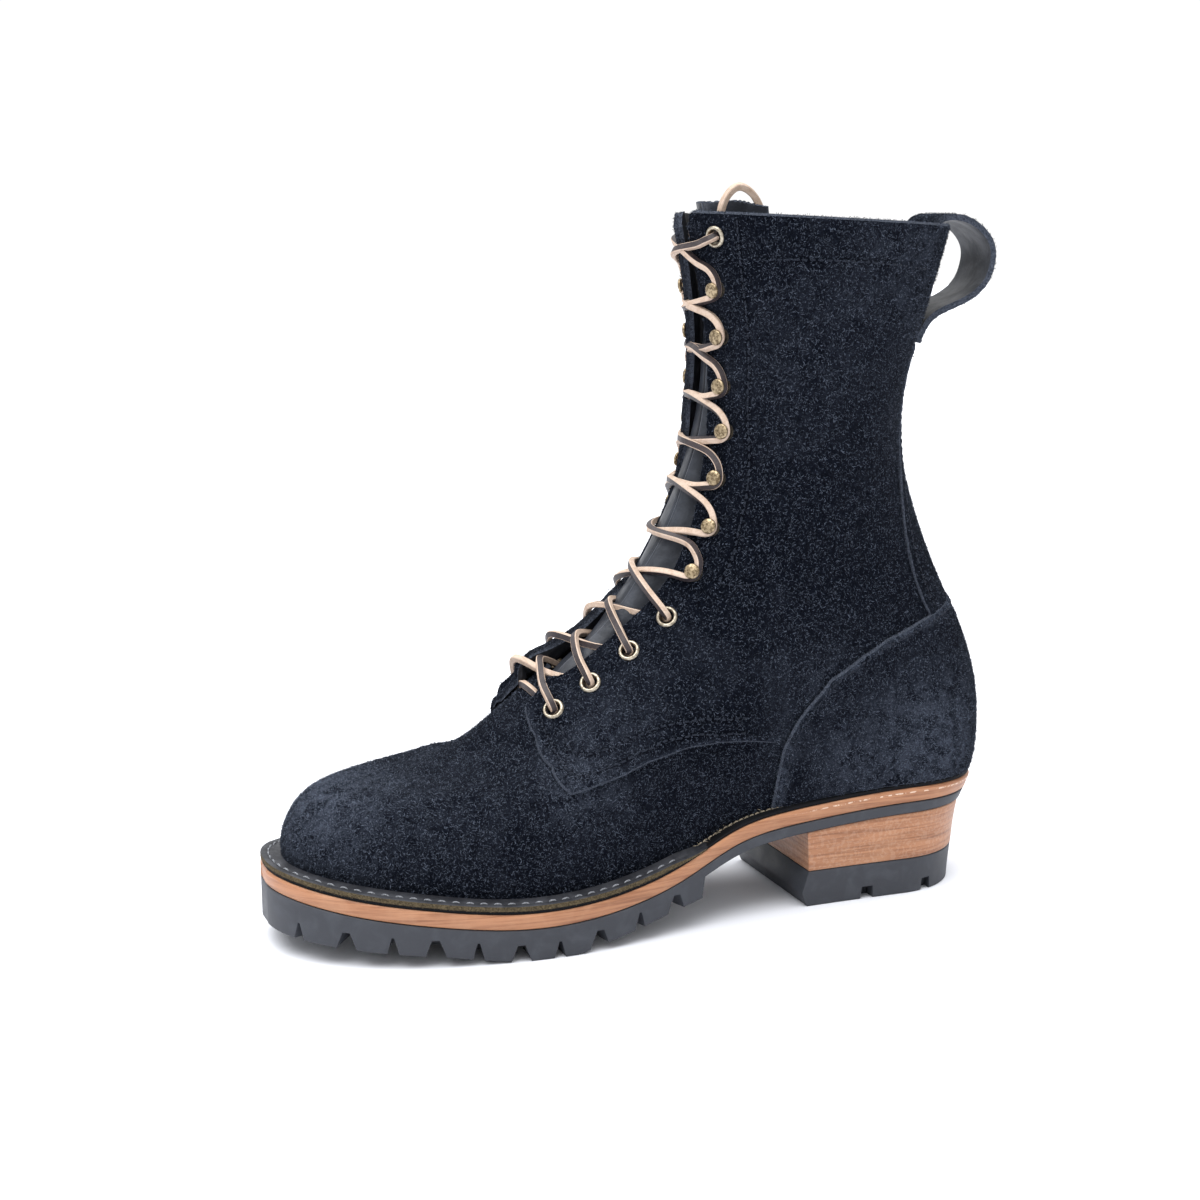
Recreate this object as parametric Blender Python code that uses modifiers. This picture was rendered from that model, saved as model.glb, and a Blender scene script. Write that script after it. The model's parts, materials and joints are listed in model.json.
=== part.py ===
"""A left lace-up boot of rough suede on a lugged rubber sole with a stacked heel.

Stations run along the foot from the heel's back to the toe and heights rise from the floor,
both in millimetres. The toe points along +X and the outer side of the foot faces +Y.
"""

import math
from collections import namedtuple

import bmesh
import bpy
import numpy as np
from mathutils import Matrix, Vector

MM = 0.001
SOLE_LENGTH = 312.0
MID_STATION = 153.85
MID_SIDE = 1.16

WALL = 2.4
GAP = 0.3
HARDWARE_GAP = 0.6
OVERLAY_GAP = 0.7
OVERLAY = 1.7
FLAP_STEP = 2.0
FLAP_FADE = 3.0

MIDSOLE = 6.0
MIDSOLE_BACK_SLOPE = 2.2
RUBBER_SHEET = 4.6
SHEET_BACK_TOP = 2.4
SHEET_BACK_FOOT = 4.6
WELT = 3.4
WELT_END = 140.0
WELT_LEVEL = 0.42
WELT_MARGIN = 0.3
RAND = 1.6
RAND_LEVEL = 0.22
RAND_MARGIN = 0.5
RAND_START = 0.006
WALL_CLEAR = 0.45
INSOLE = 3.2
INSOLE_INSET = WALL + 0.9
INSOLE_LIFT = 0.4
INSOLE_DRAW_OUTER = 1.25
INSOLE_DRAW_INNER = 1.5
TREAD_END = 142.0
TREAD_STEP = 0.2
LUG_DEPTH = 6.8
CUT_BELOW = 5.0
CHANNEL_INSETS = (17.0, 22.0)
CHANNEL_ENDS = (0.05, 0.56)
CHANNEL_DEPTH = LUG_DEPTH - 1.0
CROSS_CHANNELS = (264.0, 236.0, 208.0, 181.0)
CROSS_CHANNEL_REACH = 33.0
CROSS_CHANNEL_FOOT = 3.4
CROSS_CHANNEL_TOP = 2.2
PLATE_SHARES = (0.004, 0.9985)
PLATE_NEAREST = 0.008

HEEL_BREAST = 90.5
LIFT = 15.5
LIFT_NOTCHES = ((62.0, 5.0), (33.0, 4.0))
LIFT_NOTCH_DEEP = 20.0
LIFT_NOTCH_HIGH = 10.0
LIFT_NOTCH_OUT = 1.0
LIFT_NOTCH_DROP = 0.4

TOE_ROUND = 72.0
TOE_POWER = 2.25
HEEL_ROUND = 40.0
HEEL_POWER = 2.2
TOE_MARGIN = 9.0
HEEL_MARGIN = 2.0

EYELET_HOLE = 2.4
EYELET_BARREL = 2.9
EYELET_FLANGE = 4.6
EYELET_THICK = 1.0
HOLE_LENGTH = 14.0
HOOK_BASE = 3.7
HOOK_NECK = 1.5
HOOK_HEAD = 2.9
HOOK_HEIGHT = 4.8
INNER_HOOK_BACK = 0.05
LACE = 2.9
LACE_CLEAR = 2.2
LACE_CLEAR_FALL = 0.06
LACE_SHORT = 9.5
EYELET_SHORT = 4.0
LACE_RISE = 1.2
LACE_SQUARE = 0.96
BAR_LEVEL = 6.86
BAR_HALF = 0.075
BAR_CLEAR = 2.4

STRAP = 2.6
STRAP_WIDTH = 25.0
TONGUE = 2.0
TONGUE_INSIDE = WALL + 0.6
TONGUE_ENDS = (0.12, 0.11)
TONGUE_BULGE = 2.2
TONGUE_WIDE = 0.085
TONGUE_WIDE_LEAST = 0.17
FULL_THROAT = 0.12

Outline = namedtuple("Outline", "station outer inner margin")
OUTLINE = (
    Outline(0, 37.5, 38.0, 2.0),
    Outline(30, 38.2, 39.5, 2.0),
    Outline(58, 38.4, 37.5, 2.5),
    Outline(88, 39.2, 33.5, 4.0),
    Outline(118, 41.4, 33.0, 5.5),
    Outline(152, 48.3, 41.0, 8.0),
    Outline(188, 55.8, 51.5, 8.5),
    Outline(214, 57.0, 54.5, 8.5),
    Outline(252, 52.7, 54.0, 9.0),
    Outline(290, 47.5, 51.0, 9.0),
    Outline(312, 44.4, 49.0, 9.0),
)

Bed = namedtuple("Bed", "station height")
BED = (
    Bed(0, 46.6),
    Bed(40, 47.2),
    Bed(78, 45.2),
    Bed(100, 43.2),
    Bed(125, 38.7),
    Bed(150, 28.8),
    Bed(172, 23.0),
    Bed(200, 19.5),
    Bed(225, 19.3),
    Bed(255, 22.6),
    Bed(285, 26.8),
    Bed(312, 32.0),
)

Tread = namedtuple("Tread", "station height")
TREAD = (
    Tread(142, 12.8),
    Tread(165, 7.6),
    Tread(181, 4.0),
    Tread(199, 0.0),
    Tread(224, 0.0),
    Tread(251, 4.0),
    Tread(288, 7.2),
    Tread(312, 9.4),
)

NotchSize = namedtuple("NotchSize", "low high reach")
WIDE_NOTCH = NotchSize(8.4, 3.0, 17.0)
NARROW_NOTCH = NotchSize(4.8, 1.0, 14.0)
NOTCH_OUT = 4.0
Notch = namedtuple("Notch", "station wide")
NOTCHES = (
    Notch(303.5, False),
    Notch(288.0, True),
    Notch(271.6, False),
    Notch(255.9, True),
    Notch(239.6, False),
    Notch(222.8, True),
    Notch(207.0, False),
    Notch(189.9, True),
    Notch(171.8, False),
    Notch(154.5, True),
)

Last = namedtuple(
    "Last",
    "front_station front_height back_station back_height outer inner"
    " widest nose heel foot_share bed_share",
)
LAST = (
    Last(303.0, 31.1, 2.0, 47.5, 48.5, 46.0, 0.40, 2.40, 2.2, 1.00, 1.00),
    Last(303.6, 41.0, -0.2, 57.0, 50.0, 47.5, 0.40, 2.40, 2.2, 0.97, 0.95),
    Last(300.0, 51.0, -1.0, 69.0, 50.0, 47.0, 0.41, 2.40, 2.2, 0.90, 0.80),
    Last(292.0, 59.0, -0.9, 82.0, 48.0, 45.5, 0.43, 2.40, 2.2, 0.75, 0.60),
    Last(277.5, 62.5, 1.5, 96.0, 45.5, 43.5, 0.47, 2.30, 2.1, 0.55, 0.40),
    Last(256.0, 63.8, 6.9, 111.0, 43.5, 41.5, 0.53, 2.10, 2.1, 0.35, 0.22),
    Last(234.2, 70.8, 14.6, 127.0, 42.0, 40.0, 0.58, 2.00, 2.0, 0.20, 0.10),
    Last(214.5, 84.5, 22.7, 144.0, 40.5, 39.0, 0.61, 1.90, 2.0, 0.08, 0.00),
    Last(192.3, 101.9, 30.0, 162.0, 39.5, 38.0, 0.61, 1.80, 2.0, 0.00, 0.00),
    Last(170.2, 120.0, 35.6, 180.0, 38.5, 37.5, 0.59, 1.80, 2.0, 0.00, 0.00),
    Last(152.2, 142.9, 38.0, 198.0, 38.0, 37.2, 0.56, 1.85, 2.0, 0.00, 0.00),
    Last(137.1, 170.5, 36.7, 216.0, 38.5, 37.8, 0.53, 1.90, 2.0, 0.00, 0.00),
    Last(128.0, 203.3, 31.8, 235.0, 40.5, 40.0, 0.51, 2.00, 2.0, 0.00, 0.00),
    Last(126.8, 242.6, 24.6, 256.0, 43.5, 43.0, 0.50, 2.00, 2.0, 0.00, 0.00),
    Last(134.0, 286.0, 17.4, 280.0, 47.0, 46.5, 0.50, 2.00, 2.0, 0.00, 0.00),
)
COLLAR = len(LAST) - 1

Throat = namedtuple("Throat", "height half_gap")
THROAT = (
    Throat(90, 13.4),
    Throat(112, 14.2),
    Throat(122, 14.6),
    Throat(134, 17.6),
    Throat(145, 18.6),
    Throat(165, 16.2),
    Throat(183, 11.8),
    Throat(199, 8.8),
    Throat(219, 5.6),
    Throat(241, 3.8),
    Throat(265, 2.2),
    Throat(290, 2.2),
)
THROAT_LEVEL = 7.55
THROAT_SET_BACK = 0.012

Edge = namedtuple("Edge", "station height")
FLAP_EDGE = (
    Edge(204.4, 88.6),
    Edge(205.6, 84.5),
    Edge(205.1, 80.8),
    Edge(203.0, 71.2),
    Edge(198.7, 62.2),
    Edge(176.4, 68.6),
    Edge(166.6, 72.3),
    Edge(148.5, 76.9),
    Edge(134.2, 76.8),
    Edge(122.1, 76.1),
    Edge(104.0, 72.0),
)
COUNTER_EDGE = (
    Edge(99.4, 79.5),
    Edge(95.7, 83.4),
    Edge(82.6, 97.2),
    Edge(68.4, 105.1),
    Edge(55.4, 111.2),
    Edge(37.1, 116.6),
    Edge(14.5, 122.7),
)
COUNTER_FRONT = 0.597
COUNTER_FOOT = 0.55
COUNTER_BACK_RISE = 0.04
FLAP_BEHIND = ((0.75, 2.4), (1.0, 2.3))
FLAP_STEP_END = 0.47
FLAP_STEP_BLEND = 0.1

Station = namedtuple("Station", "station height hook")
LACING = (
    Station(196.6, 89.7, False),
    Station(181.8, 100.3, False),
    Station(165.8, 112.9, False),
    Station(150.2, 126.1, False),
    Station(138.3, 143.3, True),
    Station(130.4, 161.1, True),
    Station(126.2, 180.3, True),
    Station(122.6, 199.2, True),
    Station(122.5, 217.2, True),
    Station(123.0, 237.2, True),
    Station(125.0, 256.1, True),
    Station(127.6, 276.7, False),
)

Backstay = namedtuple("Backstay", "level half_width")
BACKSTAY = (
    Backstay(6.05, 26.0),
    Backstay(7.7, 25.0),
    Backstay(8.6, 21.5),
    Backstay(9.6, 16.0),
    Backstay(10.6, 13.0),
    Backstay(11.55, 12.5),
)

Heel = namedtuple("Heel", "share back side breast")
STACK = (
    Heel(0.00, 8.3, 1.6, 90.5),
    Heel(0.35, 7.6, 1.3, 90.8),
    Heel(0.70, 6.6, 1.0, 91.2),
    Heel(1.00, 5.3, 0.8, 91.6),
)
LIFT_ROWS = (
    Heel(0.00, 9.6, 2.6, 88.6),
    Heel(1.00, 8.5, 1.7, 90.5),
)

Strap = namedtuple("Strap", "station height bow")
STRAP_PATH = (
    Strap(28.1, 259.0, 2.5),
    Strap(24.3, 272.0, 2.4),
    Strap(22.6, 279.4, 2.3),
    Strap(20.6, 283.0, 2.0),
    Strap(16.0, 284.2, 1.0),
    Strap(10.0, 283.0, 0.0),
    Strap(4.0, 279.8, 0.0),
    Strap(-0.6, 275.2, 0.0),
    Strap(-2.7, 269.7, 0.0),
    Strap(-2.0, 263.3, 0.0),
    Strap(0.8, 257.0, 0.0),
    Strap(6.7, 251.8, 0.0),
    Strap(14.5, 248.2, 0.0),
    Strap(21.6, 245.0, 0.8),
    Strap(26.0, 240.8, 1.8),
    Strap(29.8, 232.6, 2.4),
)

Loop = namedtuple("Loop", "station side height")
LACE_LOOP = (
    Loop(121.0, 12.8, 274.0),
    Loop(122.9, 13.2, 287.0),
    Loop(119.4, 13.4, 294.0),
    Loop(115.6, 13.6, 296.3),
    Loop(111.2, 13.6, 294.8),
    Loop(106.4, 13.2, 289.0),
    Loop(103.2, 12.8, 275.0),
)


def spline(knots, values):
    """A natural cubic through the given rows, as a function of the knot."""
    knots = np.asarray(knots, float)
    values = np.asarray(values, float)
    count = len(knots)
    step = np.diff(knots)
    rise = np.diff(values) / step
    matrix = np.eye(count)
    bends = np.zeros(count)
    for row in range(1, count - 1):
        matrix[row, row - 1] = step[row - 1]
        matrix[row, row] = 2 * (step[row - 1] + step[row])
        matrix[row, row + 1] = step[row]
        bends[row] = 6 * (rise[row] - rise[row - 1])
    bends = np.linalg.solve(matrix, bends)

    def at(place):
        place = np.asarray(place, float)
        row = np.clip(np.searchsorted(knots, place, side="right") - 1, 0, count - 2)
        span = step[row]
        ahead = knots[row + 1] - place
        behind = place - knots[row]
        curve = (bends[row] * ahead**3 + bends[row + 1] * behind**3) / (6 * span)
        near = (values[row] / span - bends[row] * span / 6) * ahead
        far = (values[row + 1] / span - bends[row + 1] * span / 6) * behind
        return curve + near + far

    return at


def column(rows, name, key="station"):
    """The spline of one named column of a table."""
    return spline([getattr(row, key) for row in rows], [getattr(row, name) for row in rows])


sole_outer = column(OUTLINE, "outer")
sole_inner = column(OUTLINE, "inner")
sole_margin = column(OUTLINE, "margin")
bed_height = column(BED, "height")
backstay_width = column(BACKSTAY, "half_width", "level")
last_column = {
    name: spline(range(len(LAST)), [getattr(row, name) for row in LAST]) for name in Last._fields
}


def tread_height(station):
    """The height of the lugs' feet above the floor."""
    return np.interp(station, [row.station for row in TREAD], [row.height for row in TREAD])


def end_rounding(station, heel, toe):
    """How much of the full width is left near the round toe and heel."""
    ahead = np.clip((station - (toe - TOE_ROUND)) / TOE_ROUND, 0, 1)
    behind = np.clip((heel + HEEL_ROUND - station) / HEEL_ROUND, 0, 1)
    toe_share = (1 - ahead**TOE_POWER) ** (1 / TOE_POWER)
    heel_share = (1 - behind**HEEL_POWER) ** (1 / HEEL_POWER)
    return toe_share * heel_share


def half_widths(station, margin=0.0, heel=0.0, toe=SOLE_LENGTH):
    """Outer and inner half widths of the sole, drawn in by a margin."""
    station = np.asarray(station, float)
    share = end_rounding(station, heel, toe)
    return (sole_outer(station) - margin) * share, (sole_inner(station) - margin) * share


def feather(along):
    """Half widths of the line where the upper meets the sole, from toe (0) to heel (1)."""
    front = SOLE_LENGTH - TOE_MARGIN
    station = front + (HEEL_MARGIN - front) * along
    outer, inner = half_widths(station, sole_margin(station), HEEL_MARGIN, front)
    return station, outer, inner


FEATHER_OUTER = feather(np.linspace(0, 1, 401))[1].max()
FEATHER_INNER = feather(np.linspace(0, 1, 401))[2].max()


def last_point(level, around):
    """A point of the upper's outside.

    Level rises from the feather line (0) to the collar. Around is 0 at the front, 1 at the back,
    positive on the outer side and negative on the inner side.
    """
    level, around = np.broadcast_arrays(np.asarray(level, float), np.asarray(around, float))
    around = (around + 1) % 2 - 1
    row = {name: curve(level) for name, curve in last_column.items()}
    along = (1 - np.cos(math.pi * np.abs(around))) / 2
    sole_station, foot_outer, foot_inner = feather(along)
    widest = row["widest"]
    ahead = np.clip((widest - along) / widest, 0, 1)
    behind = np.clip((along - widest) / (1 - widest), 0, 1)
    nose = (1 - ahead ** row["nose"]) ** (1 / row["nose"])
    heel = (1 - behind ** row["heel"]) ** (1 / row["heel"])
    oval = np.where(along < widest, nose, heel)
    foot = np.clip(row["foot_share"], 0, 1)
    outer = row["outer"] * (foot * foot_outer / FEATHER_OUTER + (1 - foot) * oval)
    inner = row["inner"] * (foot * foot_inner / FEATHER_INNER + (1 - foot) * oval)
    side = np.where(around >= 0, outer, -inner)
    station = row["front_station"] + (row["back_station"] - row["front_station"]) * along
    front_bed = bed_height(SOLE_LENGTH - TOE_MARGIN)
    chord = front_bed + (bed_height(HEEL_MARGIN) - front_bed) * along
    height = row["front_height"] + (row["back_height"] - row["front_height"]) * along
    height = height + np.maximum(row["bed_share"], 0) * (bed_height(sole_station) - chord)
    return np.stack([station, side, height], -1)


def last_normal(level, around):
    """The outward direction of the upper at a level and a place around it."""
    near = 0.004
    level = np.asarray(level, float)
    around = np.asarray(around, float)
    up = last_point(level + near, around) - last_point(level - near, around)
    along = last_point(level, around + near) - last_point(level, around - near)
    normal = np.cross(along, up)
    length = np.linalg.norm(normal, axis=-1, keepdims=True)
    return normal / np.maximum(length, 1e-9)


SAMPLE_LEVELS, SAMPLE_AROUND = np.meshgrid(
    np.linspace(0, COLLAR, 281), np.linspace(0.0, 1.0, 201), indexing="ij"
)
SAMPLE_POINTS = last_point(SAMPLE_LEVELS, SAMPLE_AROUND)


def locate(station, height):
    """Level and place around of the outer side's point seen there from the side."""
    wanted = np.array([station, height])
    away = SAMPLE_POINTS[..., [0, 2]] - wanted
    nearest = np.unravel_index(np.argmin((away**2).sum(-1)), SAMPLE_LEVELS.shape)
    place = np.array([SAMPLE_LEVELS[nearest], SAMPLE_AROUND[nearest]])
    near = 1e-3
    longest = 0.05
    rounds = 6
    for _ in range(rounds):
        here = last_point(*place)[[0, 2]]
        slope_up = (last_point(place[0] + near, place[1])[[0, 2]] - here) / near
        slope_along = (last_point(place[0], place[1] + near)[[0, 2]] - here) / near
        move = np.linalg.lstsq(np.stack([slope_up, slope_along], 1), wanted - here, rcond=0.05)[0]
        place = place + np.clip(move, -longest, longest)
    return float(place[0]), float(place[1])


FLAP_PLACES = [locate(edge.station, edge.height) for edge in FLAP_EDGE]
COUNTER_PLACES = [locate(edge.station, edge.height) for edge in COUNTER_EDGE]
LACING_PLACES = [locate(row.station, row.height) for row in LACING]
THROAT_AROUND = FLAP_PLACES[0][1] - THROAT_SET_BACK


def flap_level(around):
    """The level of the quarters' lower edge at a place around the boot."""
    places = [THROAT_AROUND] + [place[1] for place in FLAP_PLACES]
    levels = [THROAT_LEVEL] + [place[0] for place in FLAP_PLACES]
    for behind, level in FLAP_BEHIND:
        places.append(behind)
        levels.append(level)
    return np.interp(np.abs(around), places, levels)


def counter_level(around):
    """The level of the counter's top edge at a place around the heel."""
    places = [place[1] for place in COUNTER_PLACES] + [1.0]
    levels = [place[0] for place in COUNTER_PLACES] + [COUNTER_PLACES[-1][0] + COUNTER_BACK_RISE]
    return np.interp(np.abs(around), places, levels)


def throat_edge(level):
    """Where the facings' front edge lies around the boot at a level."""
    around = np.linspace(0.001, 0.35, 350)
    points = last_point(level, around)
    gap = np.interp(
        points[:, 2], [row.height for row in THROAT], [row.half_gap for row in THROAT]
    )
    return float(np.interp(0.0, points[:, 1] - gap, around))


def smooth_share(value):
    """A rise from 0 to 1 that is level at both ends."""
    value = np.clip(value, 0, 1)
    return value * value * (3 - 2 * value)


def flap_step(level, around):
    """How far the quarters stand out over the vamp below their edge's height."""
    above = np.asarray(level, float) - flap_level(around)
    fade = 1 - smooth_share(above / FLAP_FADE)
    before_counter = 1 - smooth_share((np.abs(around) - FLAP_STEP_END) / FLAP_STEP_BLEND)
    return np.where(above >= -1e-6, FLAP_STEP * fade * before_counter, 0.0)


def skin_point(level, around, clear=0.0):
    """A point of the upper's outside with the flaps' step, at a clearance from it."""
    offset = np.asarray(flap_step(level, around) + clear)
    return last_point(level, around) + last_normal(level, around) * offset[..., None]


def to_frame(points):
    """Millimetre points by station, side and height as metres in the boot's frame."""
    points = np.asarray(points, float)
    return (points - np.array([MID_STATION, MID_SIDE, 0.0])) * MM


def new_collection(name):
    """An empty collection under the scene."""
    collection = bpy.data.collections.new(name)
    bpy.context.scene.collection.children.link(collection)
    return collection


def new_material(name, colour, roughness, metallic=0.0):
    """A plain Principled material."""
    material = bpy.data.materials.new(name)
    material.use_nodes = True
    shader = material.node_tree.nodes["Principled BSDF"]
    shader.inputs["Base Color"].default_value = (*colour, 1.0)
    shader.inputs["Roughness"].default_value = roughness
    shader.inputs["Metallic"].default_value = metallic
    material.diffuse_color = (*colour, 1.0)
    return material


def add_mesh(name, points, faces, collection, material=None):
    """A mesh object from millimetre points and faces."""
    mesh = bpy.data.meshes.new(name)
    mesh.from_pydata([tuple(point) for point in to_frame(points)], [], faces)
    mesh.validate()
    obj = bpy.data.objects.new(name, mesh)
    collection.objects.link(obj)
    if material:
        mesh.materials.append(material)
    return obj


def face_outwards(obj):
    """Turns the faces of a closed mesh outwards."""
    shape = bmesh.new()
    shape.from_mesh(obj.data)
    bmesh.ops.recalc_face_normals(shape, faces=shape.faces)
    shape.to_mesh(obj.data)
    shape.free()


def loft(name, loops, collection, material=None, ring=False):
    """A solid through closed loops of equal length, capped at its ends or joined in a ring."""
    count = len(loops[0])
    points = np.concatenate(loops)
    faces = []
    last = len(loops) if ring else len(loops) - 1
    for row in range(last):
        here = row * count
        there = (row + 1) % len(loops) * count
        for corner in range(count):
            after = (corner + 1) % count
            faces.append((here + corner, here + after, there + after, there + corner))
    if not ring:
        faces.append(tuple(reversed(range(count))))
        faces.append(tuple(range(len(points) - count, len(points))))
    obj = add_mesh(name, points, faces, collection, material)
    face_outwards(obj)
    return obj


def grid_sheet(name, rows, collection, material=None):
    """An open sheet through rows of points of equal length."""
    count = len(rows[0])
    faces = []
    for row in range(len(rows) - 1):
        for corner in range(count - 1):
            here = row * count + corner
            faces.append((here, here + 1, here + count + 1, here + count))
    return add_mesh(name, np.concatenate(rows), faces, collection, material)


def thicken(obj, thickness, outwards):
    """Gives an open sheet its thickness."""
    modifier = obj.modifiers.new("Thickness", "SOLIDIFY")
    modifier.thickness = thickness * MM
    modifier.offset = 1.0 if outwards else -1.0
    return modifier


def cut(obj, cutters):
    """Cuts everything in a collection of cutters from an object."""
    modifier = obj.modifiers.new("Cut", "BOOLEAN")
    modifier.operation = "DIFFERENCE"
    modifier.solver = "EXACT"
    modifier.operand_type = "COLLECTION"
    modifier.collection = cutters
    return modifier


def hide_cutter(obj):
    """Keeps a cutter out of the boot itself."""
    obj.display_type = "WIRE"
    obj.hide_render = True
    return obj


def move_to(obj, collection):
    """Takes an object out of its collections and puts it in another."""
    for owner in list(obj.users_collection):
        owner.objects.unlink(obj)
    collection.objects.link(obj)


def end_spaced(start, stop, count):
    """Stations from start to stop, closer together at both ends."""
    share = (1 - np.cos(np.linspace(0, math.pi, count))) / 2
    return start + (stop - start) * share


def plate_loops(count, top, bottom, heel_top, heel_bottom, also=()):
    """Cross sections of a plate that follows the sole's outline between two heights."""
    toe = SOLE_LENGTH
    shares = end_spaced(*PLATE_SHARES, count)
    extra = (np.array(also) - heel_bottom) / (toe - heel_bottom)
    for share in extra:
        shares = shares[np.abs(shares - share) > PLATE_NEAREST]
    loops = []
    for share in np.sort(np.concatenate([shares, extra])):
        upper = heel_top + (toe - heel_top) * share
        lower = heel_bottom + (toe - heel_bottom) * share
        outer_top, inner_top = half_widths(upper, 0.0, heel_top, toe)
        outer_low, inner_low = half_widths(lower, 0.0, heel_bottom, toe)
        loops.append(
            np.array(
                [
                    (upper, outer_top, top(upper)),
                    (upper, -inner_top, top(upper)),
                    (lower, -inner_low, bottom(lower)),
                    (lower, outer_low, bottom(lower)),
                ]
            )
        )
    return loops


def sheet_top(station):
    """The top of the rubber under the midsole."""
    return bed_height(station) - MIDSOLE - GAP


def build_midsole(parts, material):
    """The tan leather midsole, the full length of the boot."""
    sections = 38
    loops = plate_loops(
        sections, bed_height, lambda station: bed_height(station) - MIDSOLE, 0.0, MIDSOLE_BACK_SLOPE
    )
    return loft("midsole", loops, parts, material)


def notch_cutter(name, row, side, cutters):
    """A tapered block across the edge of the tread."""
    size = WIDE_NOTCH if row.wide else NARROW_NOTCH
    near = 0.5
    outer, inner = half_widths(np.array([row.station - near, row.station, row.station + near]))
    edge = outer if side > 0 else inner
    along = Vector((2 * near, side * (edge[2] - edge[0]), 0.0)).normalized()
    inward = Vector((along.y, -along.x, 0.0)) * side
    centre = Vector((row.station, side * edge[1], 0.0))
    foot = float(tread_height(row.station))
    corners = []
    ends = ((1, -NOTCH_OUT), (-1, -NOTCH_OUT), (-1, size.reach), (1, size.reach))
    flare = size.low + (size.low - size.high) * CUT_BELOW / LUG_DEPTH
    rows = ((foot - CUT_BELOW, flare / 2), (foot + LUG_DEPTH, size.high / 2))
    for height, half in rows:
        for turn, depth in ends:
            place = centre + along * (half * turn) + inward * depth
            corners.append((place.x, place.y, height))
    loops = [np.array(corners[:4]), np.array(corners[4:])]
    return hide_cutter(loft(name, loops, cutters))


def channel_cutter(name, cutters):
    """The groove between the edge lugs and the middle lugs."""
    loops = []
    start, stop = CHANNEL_ENDS
    half = np.linspace(start, stop, 22)
    for around in np.concatenate([-half[::-1], half]):
        along = (1 - math.cos(math.pi * abs(around))) / 2
        side = math.copysign(1.0, around)
        section = []
        for inset in CHANNEL_INSETS:
            station = SOLE_LENGTH - inset - (SOLE_LENGTH - inset) * along
            widths = half_widths(station, inset, 0.0, SOLE_LENGTH - inset)
            width = widths[0] if side > 0 else widths[1]
            foot = float(tread_height(station))
            section.append((station, side * width, foot - CUT_BELOW))
            section.append((station, side * width, foot + CHANNEL_DEPTH))
        loops.append(np.array([section[0], section[1], section[3], section[2]]))
    return hide_cutter(loft(name, loops, cutters))


def build_outsole(parts, material, cutters):
    """The rubber outsole: a thin sheet with a lugged forepart."""
    flat = [row.station for row in TREAD if row.height == 0.0]
    count = 42
    loops = plate_loops(
        count,
        sheet_top,
        lambda station: sheet_top(station) - RUBBER_SHEET,
        SHEET_BACK_TOP,
        SHEET_BACK_FOOT,
        flat,
    )
    sections = []
    for loop in loops:
        foot = loop.copy()
        if foot[0, 0] > TREAD_END:
            foot[2:, 2] = tread_height(foot[2:, 0])
        sections.append(foot)
    first = next(row for row, loop in enumerate(loops) if loop[0, 0] > TREAD_END)
    outer, inner = half_widths(TREAD_END)
    for offset, height in ((0.0, None), (TREAD_STEP, float(tread_height(TREAD_END)))):
        station = TREAD_END + offset
        low = float(sheet_top(station)) - RUBBER_SHEET if height is None else height
        high = float(sheet_top(station))
        section = [(outer, high), (-inner, high), (-inner, low), (outer, low)]
        rows = np.array([(station, side, level) for side, level in section])
        sections.insert(first + (0 if height is None else 1), rows)
    outsole = loft("outsole", sections, parts, material)
    for row in NOTCHES:
        for side, name in ((1, "outer"), (-1, "inner")):
            notch_cutter(f"notch_{name}_{row.station:.0f}", row, side, cutters)
    channel_cutter("tread_channel", cutters)
    for station in CROSS_CHANNELS:
        foot = float(tread_height(station))
        rows = ((foot - CUT_BELOW, CROSS_CHANNEL_FOOT), (foot + CHANNEL_DEPTH, CROSS_CHANNEL_TOP))
        loops = []
        for height, half in rows:
            loops.append(
                np.array(
                    [
                        (station + half, CROSS_CHANNEL_REACH, height),
                        (station - half, CROSS_CHANNEL_REACH, height),
                        (station - half, -CROSS_CHANNEL_REACH, height),
                        (station + half, -CROSS_CHANNEL_REACH, height),
                    ]
                )
            )
        hide_cutter(loft(f"cross_channel_{station:.0f}", loops, cutters))
    cut(outsole, cutters)
    return outsole


def heel_seat(station):
    """The underside of the rubber sheet over the heel."""
    return sheet_top(station) - RUBBER_SHEET - GAP


def heel_loop(row, height):
    """The heel's outline at one height, round the back from breast to breast."""
    along = end_spaced(1.0, 0.0, 15)[:-1]
    station = row.back + (row.breast - row.back) * along
    mapped = HEEL_BREAST * along
    outer, inner = half_widths(mapped, row.side)
    level = height(station) if callable(height) else np.full_like(station, height)
    left = np.stack([station, outer, level], 1)
    right = np.stack([station, -inner, level], 1)
    tip_level = height(row.back) if callable(height) else height
    tip = np.array([[row.back, 0.0, tip_level]])
    return np.concatenate([left, tip, right[::-1]])


def build_heel(parts, leather, rubber, cutters):
    """The leather stack and the rubber lift under it."""
    loops = []
    floor = LIFT + GAP
    for row in STACK:
        share = row.share
        loops.append(
            heel_loop(row, lambda station: floor + (heel_seat(station) - floor) * share)
        )
    loft("heel_stack", loops, parts, leather)
    loops = [heel_loop(LIFT_ROWS[0], 0.0), heel_loop(LIFT_ROWS[1], LIFT)]
    lift = loft("heel_lift", loops, parts, rubber)
    for station, width in LIFT_NOTCHES:
        for side in (1, -1):
            outer, inner = half_widths(station)
            edge = outer if side > 0 else inner
            bpy.ops.mesh.primitive_cube_add(size=1.0)
            block = bpy.context.object
            block.name = f"lift_notch_{station:.0f}_{'outer' if side > 0 else 'inner'}"
            block.dimensions = (width * MM, LIFT_NOTCH_DEEP * MM, LIFT_NOTCH_HIGH * MM)
            place = (station, side * (edge + LIFT_NOTCH_OUT), -LIFT_NOTCH_DROP)
            block.location = Vector(to_frame(place))
            move_to(hide_cutter(block), cutters)
    cut(lift, cutters)
    return lift


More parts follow.
